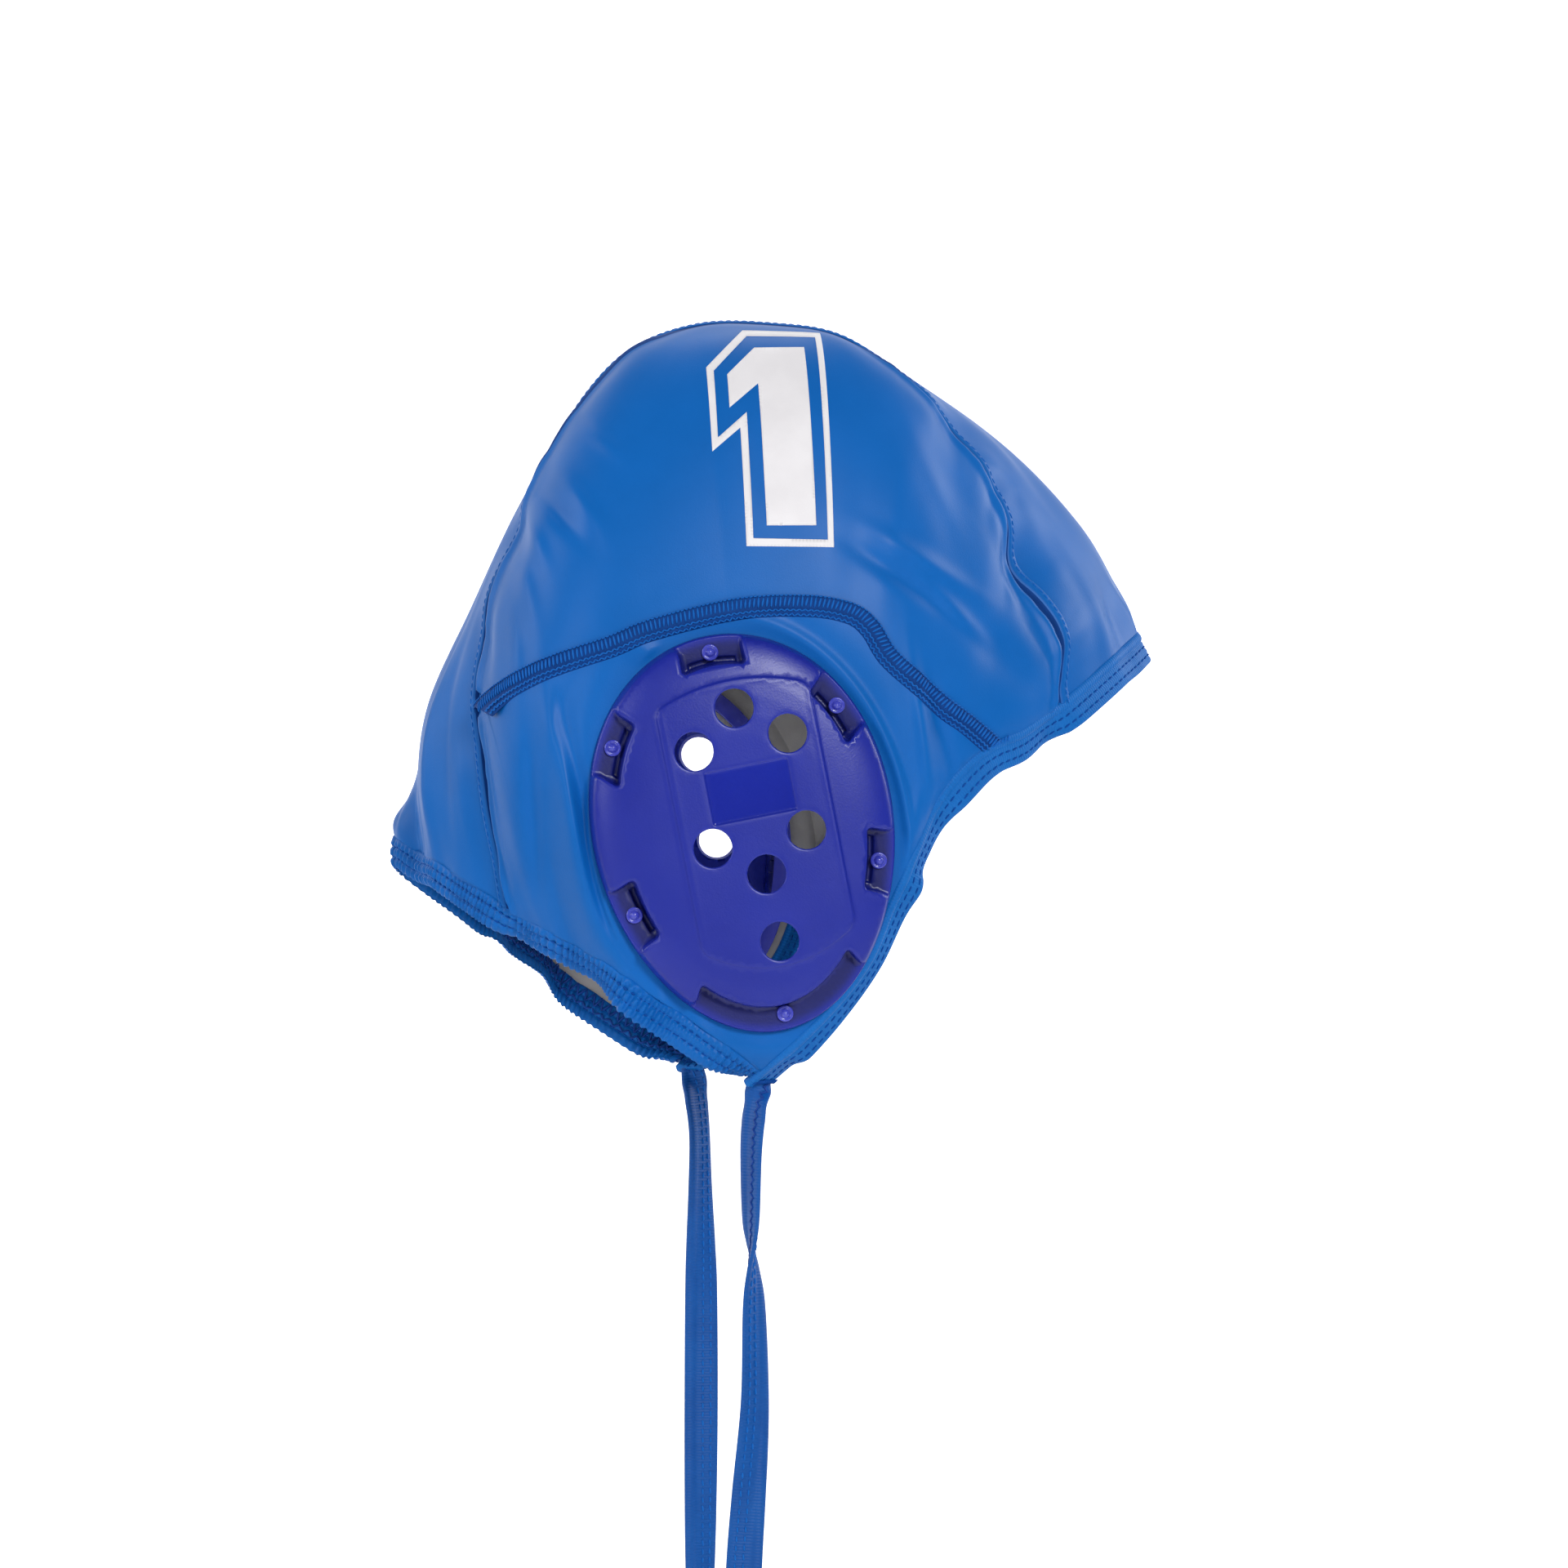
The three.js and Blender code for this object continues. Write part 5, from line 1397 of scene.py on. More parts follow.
@dataclass
class Tie:
    """A flat ribbed tape that leaves the end of the binding and hangs."""

    surface: CapSurface
    binding: FrontBinding
    side: Side
    knots: tuple[TieKnot, ...]
    length: float = 160.0
    width: float = 10.4
    thickness: float = 2.0

    def _frames(self) -> tuple[Array, Array, Array, Array]:
        """Middle line, broad direction, face direction and running length, for the right side's end."""
        path = self.binding.path
        rows = np.array([[k.down, k.front, k.out, math.radians(k.turn)] for k in self.knots])
        start = path.middle[0] + path.along[0] * 1.5 + path.out[0] * self.binding.width / 2
        knots = np.stack([
            start[0] + rows[:, 1] * self.width, start[1] - rows[:, 2] * self.width,
            start[2] - rows[:, 0] * self.length], -1)
        knots = np.vstack([start + path.along[0] * 4, knots])
        at = np.linspace(0.6, len(rows), 600)
        line = spline(knots, at)
        turn = spline(np.vstack([rows[:1, 3:], rows[:, 3:]]), at)[:, 0]
        hanging = smooth(0.9, 2.2, at)[:, None]
        level = np.stack([np.cos(turn), -np.sin(turn), np.zeros_like(turn)], -1)
        broad = unit(path.out[0] * (1 - hanging) + level * hanging)
        along = unit(np.gradient(line, axis=0))
        broad = unit(broad - along * (broad * along).sum(-1, keepdims=True))
        face = unit(np.cross(broad, along))
        return line, broad, face, running(line)

    def build(self) -> bpy.types.Object:
        """Makes the tape with its rolled edge, stitch rows and zigzag."""
        line, broad, face, run = self._frames()
        half, thick = self.width / 2, self.thickness / 2
        fronts = [(-half, 0.0), (-half + 0.15, 0.7), (-half + 0.8, 1.0), (-half + 2.0, 1.05),
                  (-half + 2.9, 0.8), (-half + 3.3, 0.62), (-0.9, 0.66), (0.4, 0.72), (1.6, 0.64),
                  (2.8, 0.74), (3.8, 0.66), (half - 0.4, 0.55), (half - 0.05, 0.3), (half, 0.0)]
        section = two_faced(fronts) * [1, thick]
        narrow = 0.72 + 0.28 * smooth(4, 14, run)[:, None, None]
        rings = line[:, None] + broad[:, None] * section[:, :1] * narrow + face[:, None] * section[:, 1:]
        points = self.surface.to_side(rings, self.side)
        piece = MeshPiece(f"tie_tape_{self.side.word}", [TIE_TAPE])
        tape = band_mesh(piece, points, run, running(section), flip=self.side is Side.LEFT)
        hand_over(tape, "tape", f"tie_{self.side.word}")
        mirror = np.array([1, -self.side.value, 1])
        lines = []
        for reach in (0.4, 2.8):
            at = self.surface.to_side(line + broad * reach + face * thick * 0.78, self.side)
            lines.append((at, face * mirror))
        straight = StitchRow(2.6, 2.1, 0.7, 0.6, 5, jitter=0.1, seed=4, finish=THREAD).lay("straight", lines)
        back = self.surface.to_side(line + broad * 1.8 - face * thick * 0.72, self.side)
        zigzag = StitchRow(1.3, 3.1, 0.75, 0.75, 50, True, jitter=0.15, seed=2, finish=OVERLOCK).lay(
            "zigzag", [(back, -face * mirror)])
        return hand_over(join([straight, zigzag], f"tie_stitches_{self.side.word}"), "thread")


@dataclass
class EarGuard:
    """The moulded guard over an ear, with its pockets, holes, raised middle, bare label plate and pins.

    axis, hole_spread, holes and label_at are shares of the guard's half width and half length. pockets has
    the middle angle of each short pocket in degrees, long_pocket the long one's ends and long_pin its pin.
    edge_rows are the distances from a feature's edge where the mesh has rows of points.
    """

    surface: CapSurface
    rise: float = 9.6
    wall: float = 2.1
    axis: float = 0.075
    hole_radius: float = 5.5
    holes: tuple[tuple[float, float], ...] = (
        (0, 0.625), (1, 0.452), (-1, 0.452), (1, -0.035), (-1, -0.035), (0, -0.21), (0, -0.55))
    hole_spread: float = 0.315
    pockets: tuple[float, ...] = (90, 36.5, 143, -17, 199)
    pocket_length: float = 18.0
    pocket_depth: float = 8.5
    pocket_floor: float = 2.6
    long_pocket: tuple[float, float] = (-126, -50)
    long_depth: float = 7.6
    long_pin: float = -88
    pin_inset: float = 4.8
    label: tuple[float, float] = (24.0, 15.0)
    label_at: float = 0.205
    edge_rows: tuple[float, ...] = (-0.42, -0.12, 0.12, 0.42)

    def _dome(self, share: Array, from_rim: Array) -> Array:
        """Height of the plain dome with its rounded rim."""
        at = [0, 0.5, 0.6, 0.7, 0.78, 0.85, 0.9, 0.94, 0.97, 1.0]
        up = [1, 0.995, 0.98, 0.945, 0.9, 0.83, 0.76, 0.68, 0.6, 0.5]
        edge = 1 - np.clip(1 - from_rim / 1.7, 0, 1) ** 2.2
        return self.rise * np.interp(share, at, up) * (0.06 + 0.94 * edge)

    @staticmethod
    def _edge_step(inside: Array, soft: float) -> Array:
        """A soft step from 0 outside to 1 inside, over a width in millimetres."""
        return smooth(-soft, soft, inside)

    @staticmethod
    def _rounded(a: Array, b: Array, corner: float) -> Array:
        """Signed distance inside a corner with a radius, from the distances inside its two edges."""
        inner = corner - np.hypot(np.maximum(corner - a, 0), np.maximum(corner - b, 0))
        return np.where((a < corner) & (b < corner), inner, np.minimum(a, b))

    def _plateau(self, uv: Array) -> Array:
        """Signed distance inside the raised middle."""
        half_w, half_l = self.surface.guard.width / 2, self.surface.guard.length / 2
        u, v = uv[..., 0] - self.axis * half_w, uv[..., 1]
        side = np.clip(u / (0.515 * half_w), -1, 1)
        top = (0.68 + 0.085 * (1 - side ** 2)) * half_l
        foot = (-0.54 - 0.134 * (1 - side ** 2)) * half_l
        return self._rounded(0.515 * half_w - np.abs(u), np.minimum(top - v, v - foot), 2.5)

    def _label(self, uv: Array) -> Array:
        """Signed distance inside the sunk label plate."""
        u = uv[..., 0] - self.axis * self.surface.guard.width / 2
        v = uv[..., 1] - self.label_at * self.surface.guard.length / 2
        return self._rounded(self.label[0] / 2 - np.abs(u), self.label[1] / 2 - np.abs(v), 0.5)

    def _arc(self, start: float, end: float) -> float:
        """Length of the rim between two angles."""
        return float(running(self.surface.guard.outline(np.linspace(start, end, 240)))[-1])

    def _run(self, angle: Array) -> Array:
        """Length of the rim from the back to each angle."""
        turns = np.linspace(-np.pi, np.pi, 721)
        run = running(self.surface.guard.outline(turns))
        return np.interp((np.asarray(angle) + np.pi) % (2 * np.pi) - np.pi, turns, run)

    def _pocket_list(self) -> list[tuple[float, float, float, bool]]:
        """Angle, half length, depth and whether it has a slot, of each pocket in the rim."""
        low, high = (math.radians(a) for a in self.long_pocket)
        short = [(math.radians(a), self.pocket_length / 2, self.pocket_depth, True) for a in self.pockets]
        return [*short, ((low + high) / 2, self._arc(low, high) / 2, self.long_depth, False)]

    def _pocket(self, angle: Array, from_rim: Array, middle: float, half: float, depth: float,
                slotted: bool) -> tuple[Array, Array]:
        """Signed distances inside a pocket and inside the slot at the foot of its inner wall."""
        if slotted:
            ends = self.surface.guard.outline(np.array([middle - 0.005, middle + 0.005]))
            gap = (angle - middle + np.pi) % (2 * np.pi) - np.pi
            along = gap * np.linalg.norm(ends[1] - ends[0]) / 0.01 * (1 - from_rim / 50)
        else:
            whole = self._arc(0, 2 * np.pi)
            along = (self._run(angle) - self._run(np.array(middle)) + whole / 2) % whole - whole / 2
        a = half - np.abs(along) + 1.1 * bell(from_rim, 1.8)
        slot = np.minimum(half - 2.2 - np.abs(along), 0.75 - np.abs(from_rim - depth + 1.25))
        return self._rounded(a, depth - from_rim, 1.6), slot

    def _height(self, uv: Array, share: Array, angle: Array) -> tuple[Array, Array, Array]:
        """Height above the cloth, gloss and the painted shade of the pocket floors at places across and
        along the guard.
        """
        from_rim = np.linalg.norm(self.surface.guard.outline(angle), axis=-1) * (1 - share)
        height = self._dome(share, from_rim)
        plateau = self._plateau(uv)
        height = height + 0.5 * self._edge_step(plateau, 0.35) + 0.14 * bell(plateau - 0.35, 0.35)
        label = self._label(uv)
        gloss = self._edge_step(label - 0.1, 0.3)
        height = height - 0.45 * self._edge_step(label, 0.25)
        pocket_shade = np.zeros_like(height)
        for middle, half, depth, slotted in self._pocket_list():
            inside, slot = self._pocket(angle, from_rim, middle, half, depth, slotted)
            floor = np.minimum(self.pocket_floor - 0.25 * np.clip(from_rim / depth, 0, 1), height)
            height = height + 0.16 * bell(inside + 0.5, 0.4) * smooth(0.5, 2.5, from_rim)
            height = height + (floor - height) * self._edge_step(inside, 0.42)
            # Painted shade on the pocket floors, which darkens their colour.
            pocket_shade = np.maximum(pocket_shade, self._edge_step(inside - 0.3, 0.4) * smooth(0.5, 3.5, from_rim))
            if slotted:
                height = height - 1.4 * self._edge_step(slot, 0.22)
        return height, gloss, pocket_shade

    def _edges(self, uv: Array) -> list[Array]:
        """Signed distances inside each feature whose edge shows: plateau, label, pockets and slots."""
        share, angle = self._polar(uv)
        from_rim = np.linalg.norm(self.surface.guard.outline(angle), axis=-1) * (1 - share)
        out = [self._plateau(uv), self._label(uv)]
        for middle, half, depth, slotted in self._pocket_list():
            inside, slot = self._pocket(angle, from_rim, middle, half, depth, slotted)
            out.append(inside)
            if slotted:
                out.append(slot)
        return out

    @staticmethod
    def _thin(points: Array, spacing: float) -> Array:
        """The points without those that share a cell of a grid."""
        _, keep = np.unique(np.round(points / spacing).astype(int), axis=0, return_index=True)
        return points[np.sort(keep)]

    def _plan_points(self, middles: Array) -> Array:
        """Places of the guard's mesh: a coarse field, and finer rows along every feature's edge.

        Args:
            middles: The holes' middles.

        Returns:
            Places across and along the guard.
        """
        guard = self.surface.guard
        wide, tall = guard.width / 2 * 1.1, guard.length / 2
        fine = flat_grid((-wide, -tall), (wide, tall), 0.3)
        fine = fine[self._polar(fine)[0] < 0.985]
        rows = []
        for number, inside in enumerate(self._edges(fine)):
            near = fine[np.abs(inside) < 0.8]
            for level in self.edge_rows:
                rows.append(self._thin(self._onto(near, number, level), 0.42))
        coarse = flat_grid((-wide, -tall), (wide, tall), 1.25) + [0.3, 0.2]
        rows.append(coarse[np.abs(np.stack(self._edges(coarse))).min(0) > 1.0])
        points = np.vstack(rows)
        share, _ = self._polar(points)
        far = np.linalg.norm(points[:, None] - middles[None], axis=-1).min(1)
        reach = np.linalg.norm(points, axis=-1) / np.maximum(share, 1e-3)
        points = points[(far > self.hole_radius + 0.75) & ((1 - share) * reach > 1.9)]
        return self._thin(points, 0.24)

    def _onto(self, points: Array, number: int, level: float) -> Array:
        """The points moved onto a line of equal distance inside one feature."""
        at = points.copy()
        for _ in range(3):
            here = self._edges(at)[number]
            by_u = (self._edges(at + [1e-3, 0])[number] - here) / 1e-3
            by_v = (self._edges(at + [0, 1e-3])[number] - here) / 1e-3
            step = (here - level) / np.maximum(by_u ** 2 + by_v ** 2, 0.2)
            at = at - np.clip(np.stack([by_u * step, by_v * step], -1), -0.6, 0.6)
        return at

    def _hole_middles(self) -> Array:
        """The holes' middles across and along the guard."""
        guard = self.surface.guard
        return np.array([[(self.axis + a * self.hole_spread) * guard.width / 2, b * guard.length / 2]
                         for a, b in self.holes])

    def _plan(self) -> tuple[Array, list[tuple[int, ...]]]:
        """The guard's mesh in plan: places across and along the guard, and its triangles."""
        guard, middles = self.surface.guard, self._hole_middles()
        rim = guard.outline(np.linspace(0, 2 * np.pi, 340, endpoint=False))
        length = np.linalg.norm(rim, axis=-1, keepdims=True)
        rings = [rim * (1 - inset / length) for inset in (0.12, 0.3, 0.55, 0.9, 1.4)]
        circle = np.linspace(0, 2 * np.pi, 56, endpoint=False)
        wheel = np.stack([np.cos(circle), np.sin(circle)], -1)
        around = [middle + wheel * (self.hole_radius + gap)
                  for middle in middles for gap in (0.14, 0.35, 0.65)]
        points, edges = [], []
        for ring in [rim, *(middle + wheel * self.hole_radius for middle in middles)]:
            start = len(points)
            points += list(ring)
            edges += [(start + i, start + (i + 1) % len(ring)) for i in range(len(ring))]
        points += list(np.vstack([*rings, *around, self._plan_points(middles)]))
        flat, faces = triangulate(points, edges)
        centre = flat[faces].mean(1)
        solid = np.linalg.norm(centre[:, None] - middles[None], axis=-1).min(1) > self.hole_radius * 0.995
        solid &= self._polar(centre)[0] < 0.99999
        return flat, [tuple(f) for f in faces[solid]]

    def build(self, side: Side) -> None:
        """Makes the guard, its backing ring and its pins on one side."""
        guard = self.surface.guard
        uv, faces = self._plan()
        height, gloss, pocket_shade = self._height(uv, *self._polar(uv))
        far = np.linalg.norm(uv[:, None] - self._hole_middles()[None], axis=-1).min(1) - self.hole_radius
        height = height - 0.3 * np.exp(-np.clip(far, 0, 5) / 0.2)
        local = np.concatenate([uv, height[..., None] + 0.3], -1)
        verts = self.surface.to_side(guard.place(local), side)
        a, b, c = (verts[list(ids)] for ids in zip(*faces))
        if np.cross(b - a, c - a)[:, 1].sum() * side.value < 0:
            faces = [f[::-1] for f in faces]
        piece = MeshPiece(f"ear_guard_shell_{side.word}", [GUARD_PLASTIC])
        # The mask darkens the colour of the pocket floors: painted shade.
        obj = piece.make(verts, faces, attributes={"gloss": gloss, "pocket_shade": pocket_shade})
        tidy_mesh(obj, 0.004)
        solidify(obj, self.wall)
        hand_over(obj, "plastic", f"ear_guard_{side.word}")
        self._backing(side)

    def _polar(self, uv: Array) -> tuple[Array, Array]:
        """Shares and angles of places across and along the guard."""
        guard = self.surface.guard
        angle = np.arctan2(uv[..., 1] / (guard.length / 2), uv[..., 0] / (guard.width / 2))
        for _ in range(6):
            squeeze = 1 + guard.egg * np.sin(angle)
            angle = np.arctan2(uv[..., 1] / (guard.length / 2), uv[..., 0] / (guard.width / 2 * squeeze))
        reach = np.linalg.norm(guard.outline(angle), axis=-1)
        return np.clip(np.linalg.norm(uv, axis=-1) / reach, 0, 1), angle

    def _backing(self, side: Side) -> None:
        """Makes the ring inside the cloth and the pins that come through into the pockets."""
        guard = self.surface.guard
        angles = np.linspace(0, 2 * np.pi, 160, endpoint=False)
        section = ((3.6, -2.1), (3.9, -1.9), (8.6, -1.9), (9.0, -2.1), (9.0, -3.7), (8.6, -3.9), (3.9, -3.9),
                   (3.6, -3.7))
        rings = []
        for inset, height in section:
            rim = guard.outline(angles)
            reach = np.linalg.norm(rim, axis=-1, keepdims=True)
            rings.append(np.concatenate([rim * (1 - inset / reach), np.full((len(angles), 1), height)], -1))
        points = np.stack(rings, 1)
        sides = len(section)
        faces = grid_faces(len(angles), sides, ring=True)
        last = (len(angles) - 1) * sides
        faces += [(last + k, last + (k + 1) % sides, (k + 1) % sides, k) for k in range(sides)]
        if side is Side.RIGHT:
            faces = [tuple(f)[::-1] for f in faces]
        piece = MeshPiece(f"guard_backing_ring_{side.word}", [PIN_PLASTIC])
        ring = piece.make(self.surface.to_side(guard.place(points.reshape(-1, 3)), side), faces)
        pins = [self._pin(side, math.radians(a), i) for i, a in enumerate([*self.pockets, self.long_pin])]
        whole = join([ring, *pins], f"guard_backing_ring_{side.word}")
        hand_over(whole, "plastic", f"guard_backing_{side.word}")

    def _pin(self, side: Side, angle: float, number: int) -> bpy.types.Object:
        """A turned pin: a shank, a flat collar and a small ball."""
        guard = self.surface.guard
        rim = guard.outline(np.array([angle]))[0]
        middle = rim * (1 - self.pin_inset / np.linalg.norm(rim))
        base = self.pocket_floor + 0.2
        profile = [(1.5, -2.2), (1.5, base), (2.15, base + 0.05), (2.4, base + 0.35), (2.35, base + 0.75),
                   (2.0, base + 0.95), (1.65, base + 0.8), (1.45, base + 0.62), (1.3, base + 0.9),
                   (1.05, base + 1.35), (0.6, base + 1.7), (0.05, base + 1.8)]
        count = 20
        turns = np.linspace(0, 2 * np.pi, count, endpoint=False)
        wheel = np.stack([np.cos(turns), np.sin(turns)], -1)
        rows = [np.concatenate([middle + r * wheel, np.full((count, 1), h)], -1) for r, h in profile]
        points = guard.place(np.vstack(rows))
        faces = grid_faces(len(profile), count, ring=True, flip=side is Side.LEFT)
        top = list(range((len(profile) - 1) * count, len(profile) * count))
        foot = list(range(count))
        faces += [top, foot[::-1]] if side is Side.RIGHT else [top[::-1], foot]
        piece = MeshPiece(f"pin_{number}", [PIN_PLASTIC])
        return piece.make(self.surface.to_side(points, side), faces)


@dataclass
class NumberPrint:
    """The block number 1 printed on each number panel, with its outline.

    rim_outer, rim_inner and digit are corners in shares of the height, from the foot forwards and up.
    """

    surface: CapSurface
    height: float = 66.0
    foot: tuple[float, float] = (-0.044 * CAP_LENGTH, -0.319 * CAP_HEIGHT)
    lift: float = 0.16
    rim_outer: tuple[tuple[float, float], ...] = (
        (0.018, 1), (0.366, 1), (0.38, 0), (0, 0), (-0.017, 0.53), (-0.141, 0.42), (-0.155, 0.81))
    rim_inner: tuple[tuple[float, float], ...] = (
        (0.033, 0.97), (0.339, 0.974), (0.354, 0.032), (0.03, 0.035), (0.013, 0.601), (-0.115, 0.483),
        (-0.123, 0.795))
    digit: tuple[tuple[float, float], ...] = (
        (0.061, 0.909), (0.283, 0.917), (0.304, 0.095), (0.089, 0.092), (0.068, 0.736), (-0.061, 0.621),
        (-0.065, 0.777))

    def _outline(self, shares: tuple[tuple[float, float], ...], side: Side) -> Array:
        """The outline's corners as x, z on the right side, turned round for the left side."""
        points = np.array(shares)
        if side is Side.LEFT:
            middle = self.digit[1][0] + self.digit[0][0]
            points[:, 0] = middle - points[:, 0]
        return np.array(self.foot) + points * self.height

    @staticmethod
    def _inside(points: Array, ring: Array) -> Array:
        """Whether points lie inside a ring of corners."""
        x, y = points[:, :1], points[:, 1:]
        a, b = ring, np.roll(ring, -1, 0)
        crosses = (a[:, 1] > y) != (b[:, 1] > y)
        rise = np.where(b[:, 1] == a[:, 1], 1e-9, b[:, 1] - a[:, 1])
        at = a[:, 0] + (y - a[:, 1]) * (b[:, 0] - a[:, 0]) / rise
        return (crosses & (x < at)).sum(1) % 2 == 1

    def _printed(self, points: Array, rings: list[Array]) -> Array:
        """Whether points lie inside the first ring and outside the others."""
        keep = self._inside(points, rings[0])
        for ring in rings[1:]:
            keep &= ~self._inside(points, ring)
        return keep

    def _print(self, name: str, rings: list[Array], side: Side) -> bpy.types.Object:
        """A print of slight thickness inside the first ring and outside the others, laid on the cloth."""
        step = 1.0
        points, edges = [], []
        for ring in rings:
            start = len(points)
            for a, b in zip(ring, np.roll(ring, -1, 0)):
                count = max(2, int(np.linalg.norm(b - a) / step))
                points += [a + (b - a) * i / count for i in range(count)]
            edges += [(i, i + 1) for i in range(start, len(points) - 1)] + [(len(points) - 1, start)]
        low, high = rings[0].min(0), rings[0].max(0)
        mesh = flat_grid(low, high, step) + 0.013
        points += list(mesh[self._printed(mesh, rings)])
        flat, faces = triangulate(points, edges)
        faces = [tuple(f) for f in faces[self._printed(flat[faces].mean(1), rings)]]
        x, z = flat.T
        if side is Side.LEFT:
            x, z = self.surface.before_sway(x, z)
        verts, _ = self.surface.on_side(x, z, self.lift)
        a, b, c = (verts[list(ids)] for ids in zip(*faces))
        outward = np.cross(b - a, c - a)[:, 1].sum() < 0
        flip = outward == (side is Side.LEFT)
        faces = [f[::-1] for f in faces] if flip else faces
        obj = MeshPiece(name, [PRINT]).make(self.surface.to_side(verts, side), faces)
        tidy_mesh(obj, 0.004)
        solidify(obj, 0.2)
        return obj

    def build(self, side: Side) -> None:
        """Makes the figure and its outline on one side."""
        digit = self._print(f"digit_print_{side.word}", [self._outline(self.digit, side)], side)
        hand_over(digit, "print", f"digit_{side.word}")
        rings = [self._outline(self.rim_outer, side), self._outline(self.rim_inner, side)]
        rim = self._print(f"digit_rim_print_{side.word}", rings, side)
        hand_over(rim, "print", f"digit_rim_{side.word}")


@dataclass
class Studio:
    """Camera, lights, floor and backdrop."""

    azimuth: float = -5.0
    elevation: float = -3.0
    distance: float = 1.5
    lens: float = 114.8
    target: tuple[float, float, float] = (0.0075, 0.0, -0.1376)
    floor: float = -0.75
    world_strength: float = 0.12
    backdrop_glow: float = 0.9
    floor_rows: int = 7
    lamps: tuple[tuple[str, tuple[float, float, float], float, float], ...] = (
        ("key", (0.5, -1.75, 0.45), 0.4, 20),
        ("front_left", (-1.2, -1.3, 0.15), 0.7, 7),
        ("right", (1.3, 0.35, 0.45), 0.6, 8),
        ("left", (-1.45, 0.1, 0.3), 0.6, 6),
        ("top", (0.0, 0.5, 1.3), 0.6, 6),
    )

    def camera(self) -> bpy.types.Object:
        """Makes the camera at the photograph's angle."""
        data = bpy.data.cameras.new("camera")
        data.lens, data.sensor_width = self.lens, 36
        data.clip_start, data.clip_end = 0.05, 30
        obj = add_object("camera", data)
        a, e = math.radians(self.azimuth), math.radians(self.elevation)
        back = Vector((math.sin(a) * math.cos(e), -math.cos(a) * math.cos(e), math.sin(e)))
        obj.location = Vector(self.target) + back * self.distance
        obj.rotation_mode = "QUATERNION"
        obj.rotation_quaternion = (-back).to_track_quat("-Z", "Y")
        bpy.context.scene.camera = obj
        return obj

    def _lamp(self, name: str, at: tuple[float, float, float], size: float, power: float) -> None:
        """Adds a soft square light aimed at the cap, from its place, size in metres and power in watts."""
        data = bpy.data.lights.new(name, "AREA")
        data.shape, data.size, data.energy = "SQUARE", size, power
        obj = add_object(name, data)
        obj.location = at
        way = Vector(self.target) - Vector(at)
        obj.rotation_mode = "QUATERNION"
        obj.rotation_quaternion = way.to_track_quat("-Z", "Y")

    def lights(self) -> None:
        """Adds the soft studio lights and a pale surrounding, shown in plain colours."""
        bpy.context.scene.view_settings.view_transform = "Standard"
        bpy.context.scene.view_settings.look = "None"
        world = bpy.data.worlds.new("studio")
        world.use_nodes = True
        glow = world.node_tree.nodes["Background"].inputs
        glow["Color"].default_value = (0.95, 0.96, 1, 1)
        glow["Strength"].default_value = self.world_strength
        bpy.context.scene.world = world
        for lamp in self.lamps:
            self._lamp(*lamp)

    @staticmethod
    def _paper(name: str, glow: float) -> bpy.types.Material:
        """White background paper that glows a little by itself, as lit paper does."""
        material = bpy.data.materials.new(name)
        material.use_nodes = True
        shader = material.node_tree.nodes["Principled BSDF"]
        shader.inputs["Base Color"].default_value = (0.93, 0.93, 0.935, 1)
        shader.inputs["Roughness"].default_value = 0.9
        shader.inputs["Emission Color"].default_value = (1, 1, 1, 1)
        shader.inputs["Emission Strength"].default_value = glow
        return material

    def sweep(self) -> bpy.types.Object:
        """Makes the pale floor that curves up into a backdrop."""
        radius, back, front, wide, tall = 0.9, 2.2, -3.5, 5.0, 4.0
        curve = [(back - radius + radius * math.sin(t), radius - radius * math.cos(t))
                 for t in np.linspace(0, np.pi / 2, 24)]
        profile = [(front, 0.0), *curve, (back, tall)]
        verts = [(x, y, self.floor + z) for y, z in profile for x in (-wide, wide)]
        faces = [(2 * i, 2 * i + 1, 2 * i + 3, 2 * i + 2) for i in range(len(profile) - 1)]
        mesh = bpy.data.meshes.new("floor")
        mesh.from_pydata(verts, [], faces)
        mesh.polygons.foreach_set("use_smooth", [True] * len(mesh.polygons))
        mesh.materials.append(self._paper("pale_floor", 0.0))
        mesh.materials.append(self._paper("pale_backdrop", self.backdrop_glow))
        mesh.polygons.foreach_set("material_index", [int(i >= self.floor_rows) for i in range(len(faces))])
        obj = add_object("floor", mesh)
        return obj


def cuts() -> list[Cut]:
    """The cuts of all the cloth pieces and tapes."""
    found = [
        Cut("crown_panel_cloth", 86, 380, 0.92, "stretched", ("front_binding_tape",),
            ("nape_hem_cloth", "nape_hem_stitches", "nape_hem_overlock")),
        Cut("front_binding_tape", 10.4, 430, 0.98, "stretched", ("crown_panel_cloth",),
            ("front_binding_stitches",)),
    ]
    for side in Side:
        word = side.word
        sewn = ("digit_print", "digit_rim_print", "flatlock_ridge", "flatlock_threads", "crown_seam_edge",
                "crown_seam_stitches")
        found += [
            Cut(f"number_panel_cloth_{word}", 115, 195, 0.78, "stretched", ("crown_panel_cloth",),
                tuple(f"{name}_{word}" for name in sewn)),
            Cut(f"ear_panel_cloth_{word}", 110, 165, 0.48, "stretched", (f"number_panel_cloth_{word}",)),
            Cut(f"tie_tape_{word}", 10.4, 160, 1.0, "hung", ("front_binding_tape",),
                (f"tie_stitches_{word}",)),
        ]
    return found


def main() -> None:
    """Builds the studio and every piece of the cap."""
    logging.basicConfig(level=logging.INFO, format="%(name)s %(message)s")
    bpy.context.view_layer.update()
    studio = Studio()
    studio.camera()
    studio.lights()
    studio.sweep()
    surface = CapSurface()
    Panels(surface).build()
    binding = FrontBinding(surface)
    binding.build()
    NapeHem(surface).build()
    for side, knots in ((Side.RIGHT, TIE_RIGHT), (Side.LEFT, TIE_LEFT)):
        Tie(surface, binding, side, knots).build()
    for side in Side:
        CrownSeam(surface).build(side)
        FlatlockSeam(surface).build(side)
        EarGuard(surface).build(side)
        NumberPrint(surface).build(side)
    for cut in cuts():
        cut.declare()


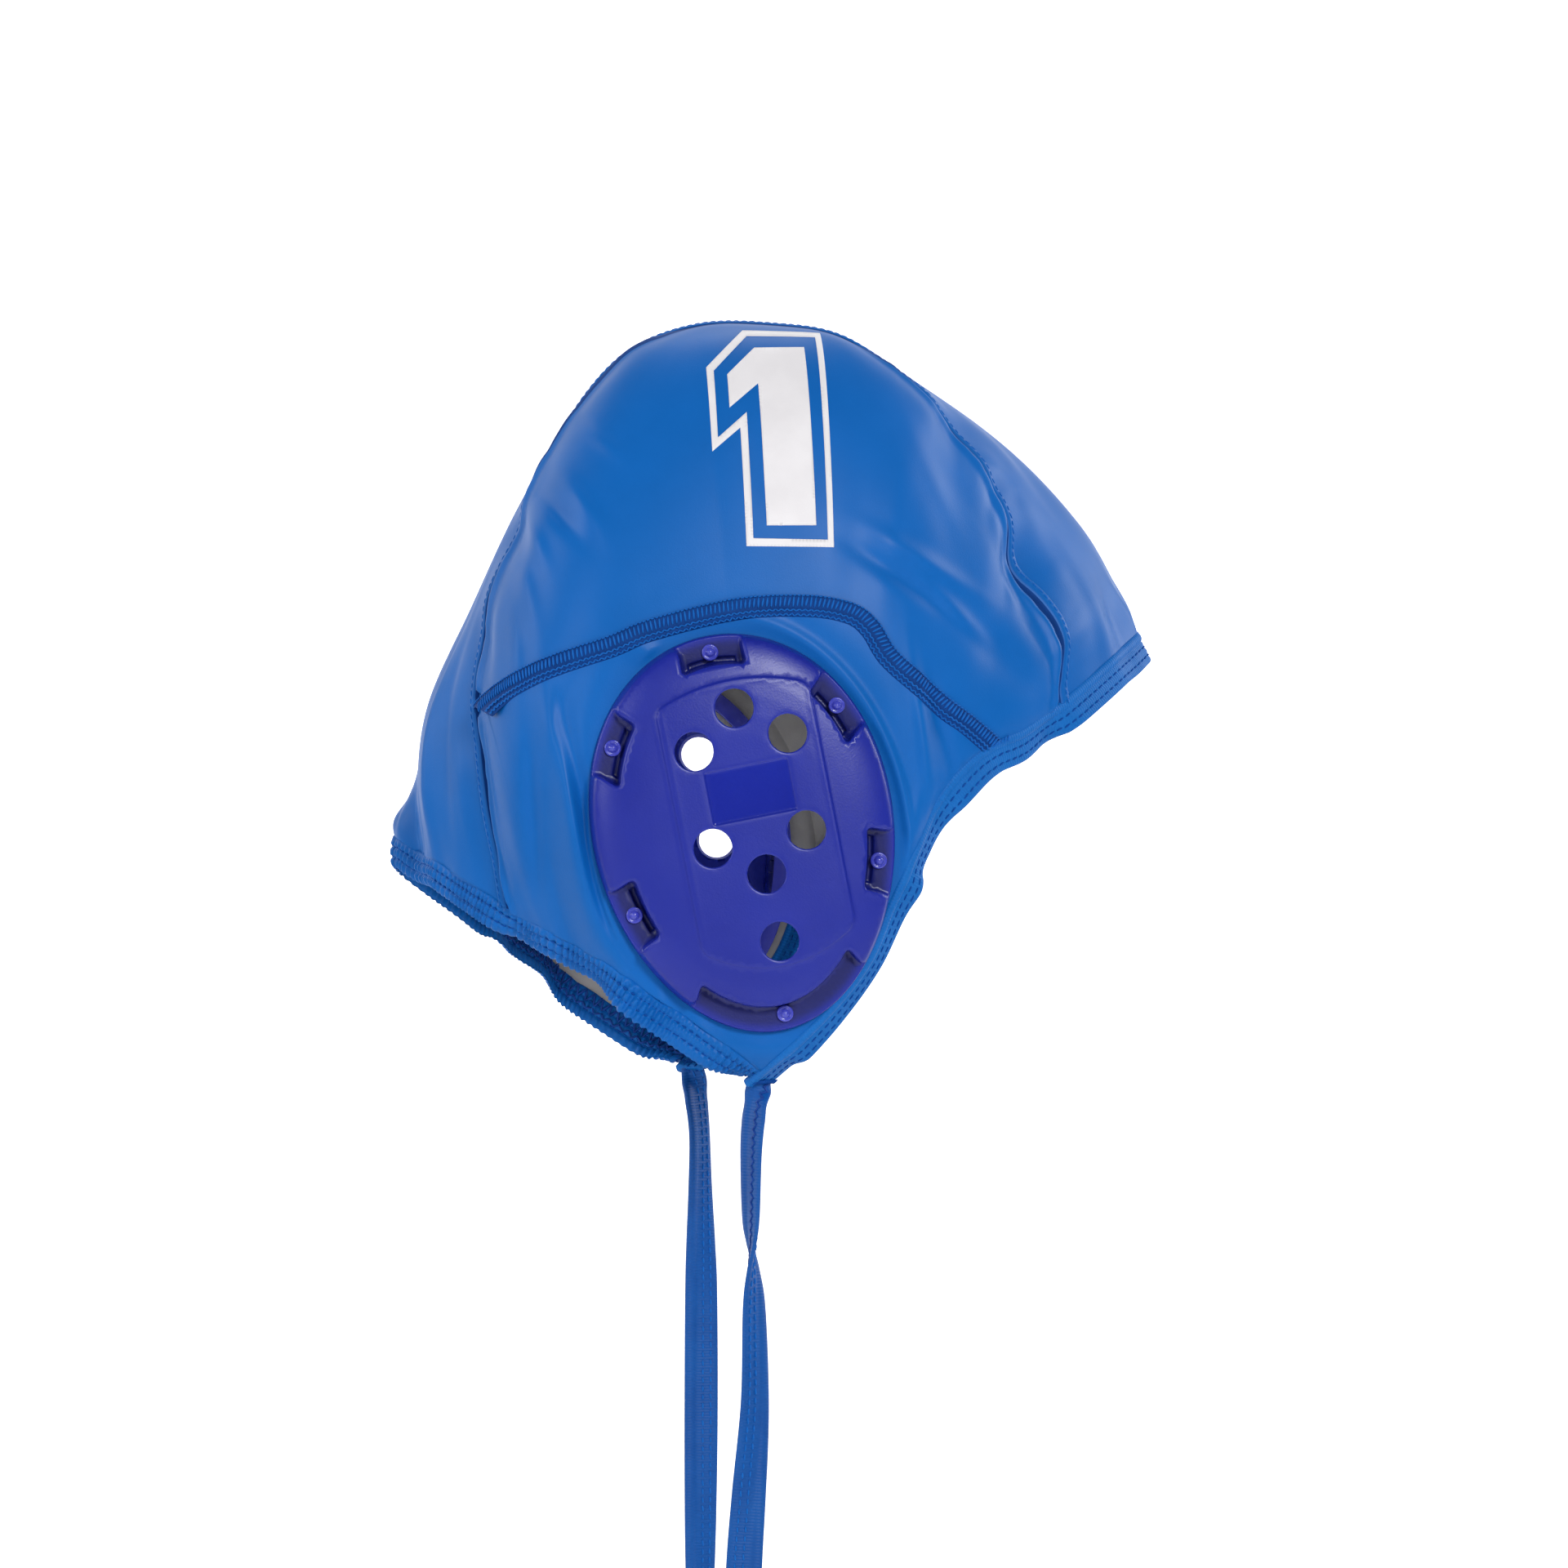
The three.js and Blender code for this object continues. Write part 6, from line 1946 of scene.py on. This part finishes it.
if __name__ == "__main__":
    main()
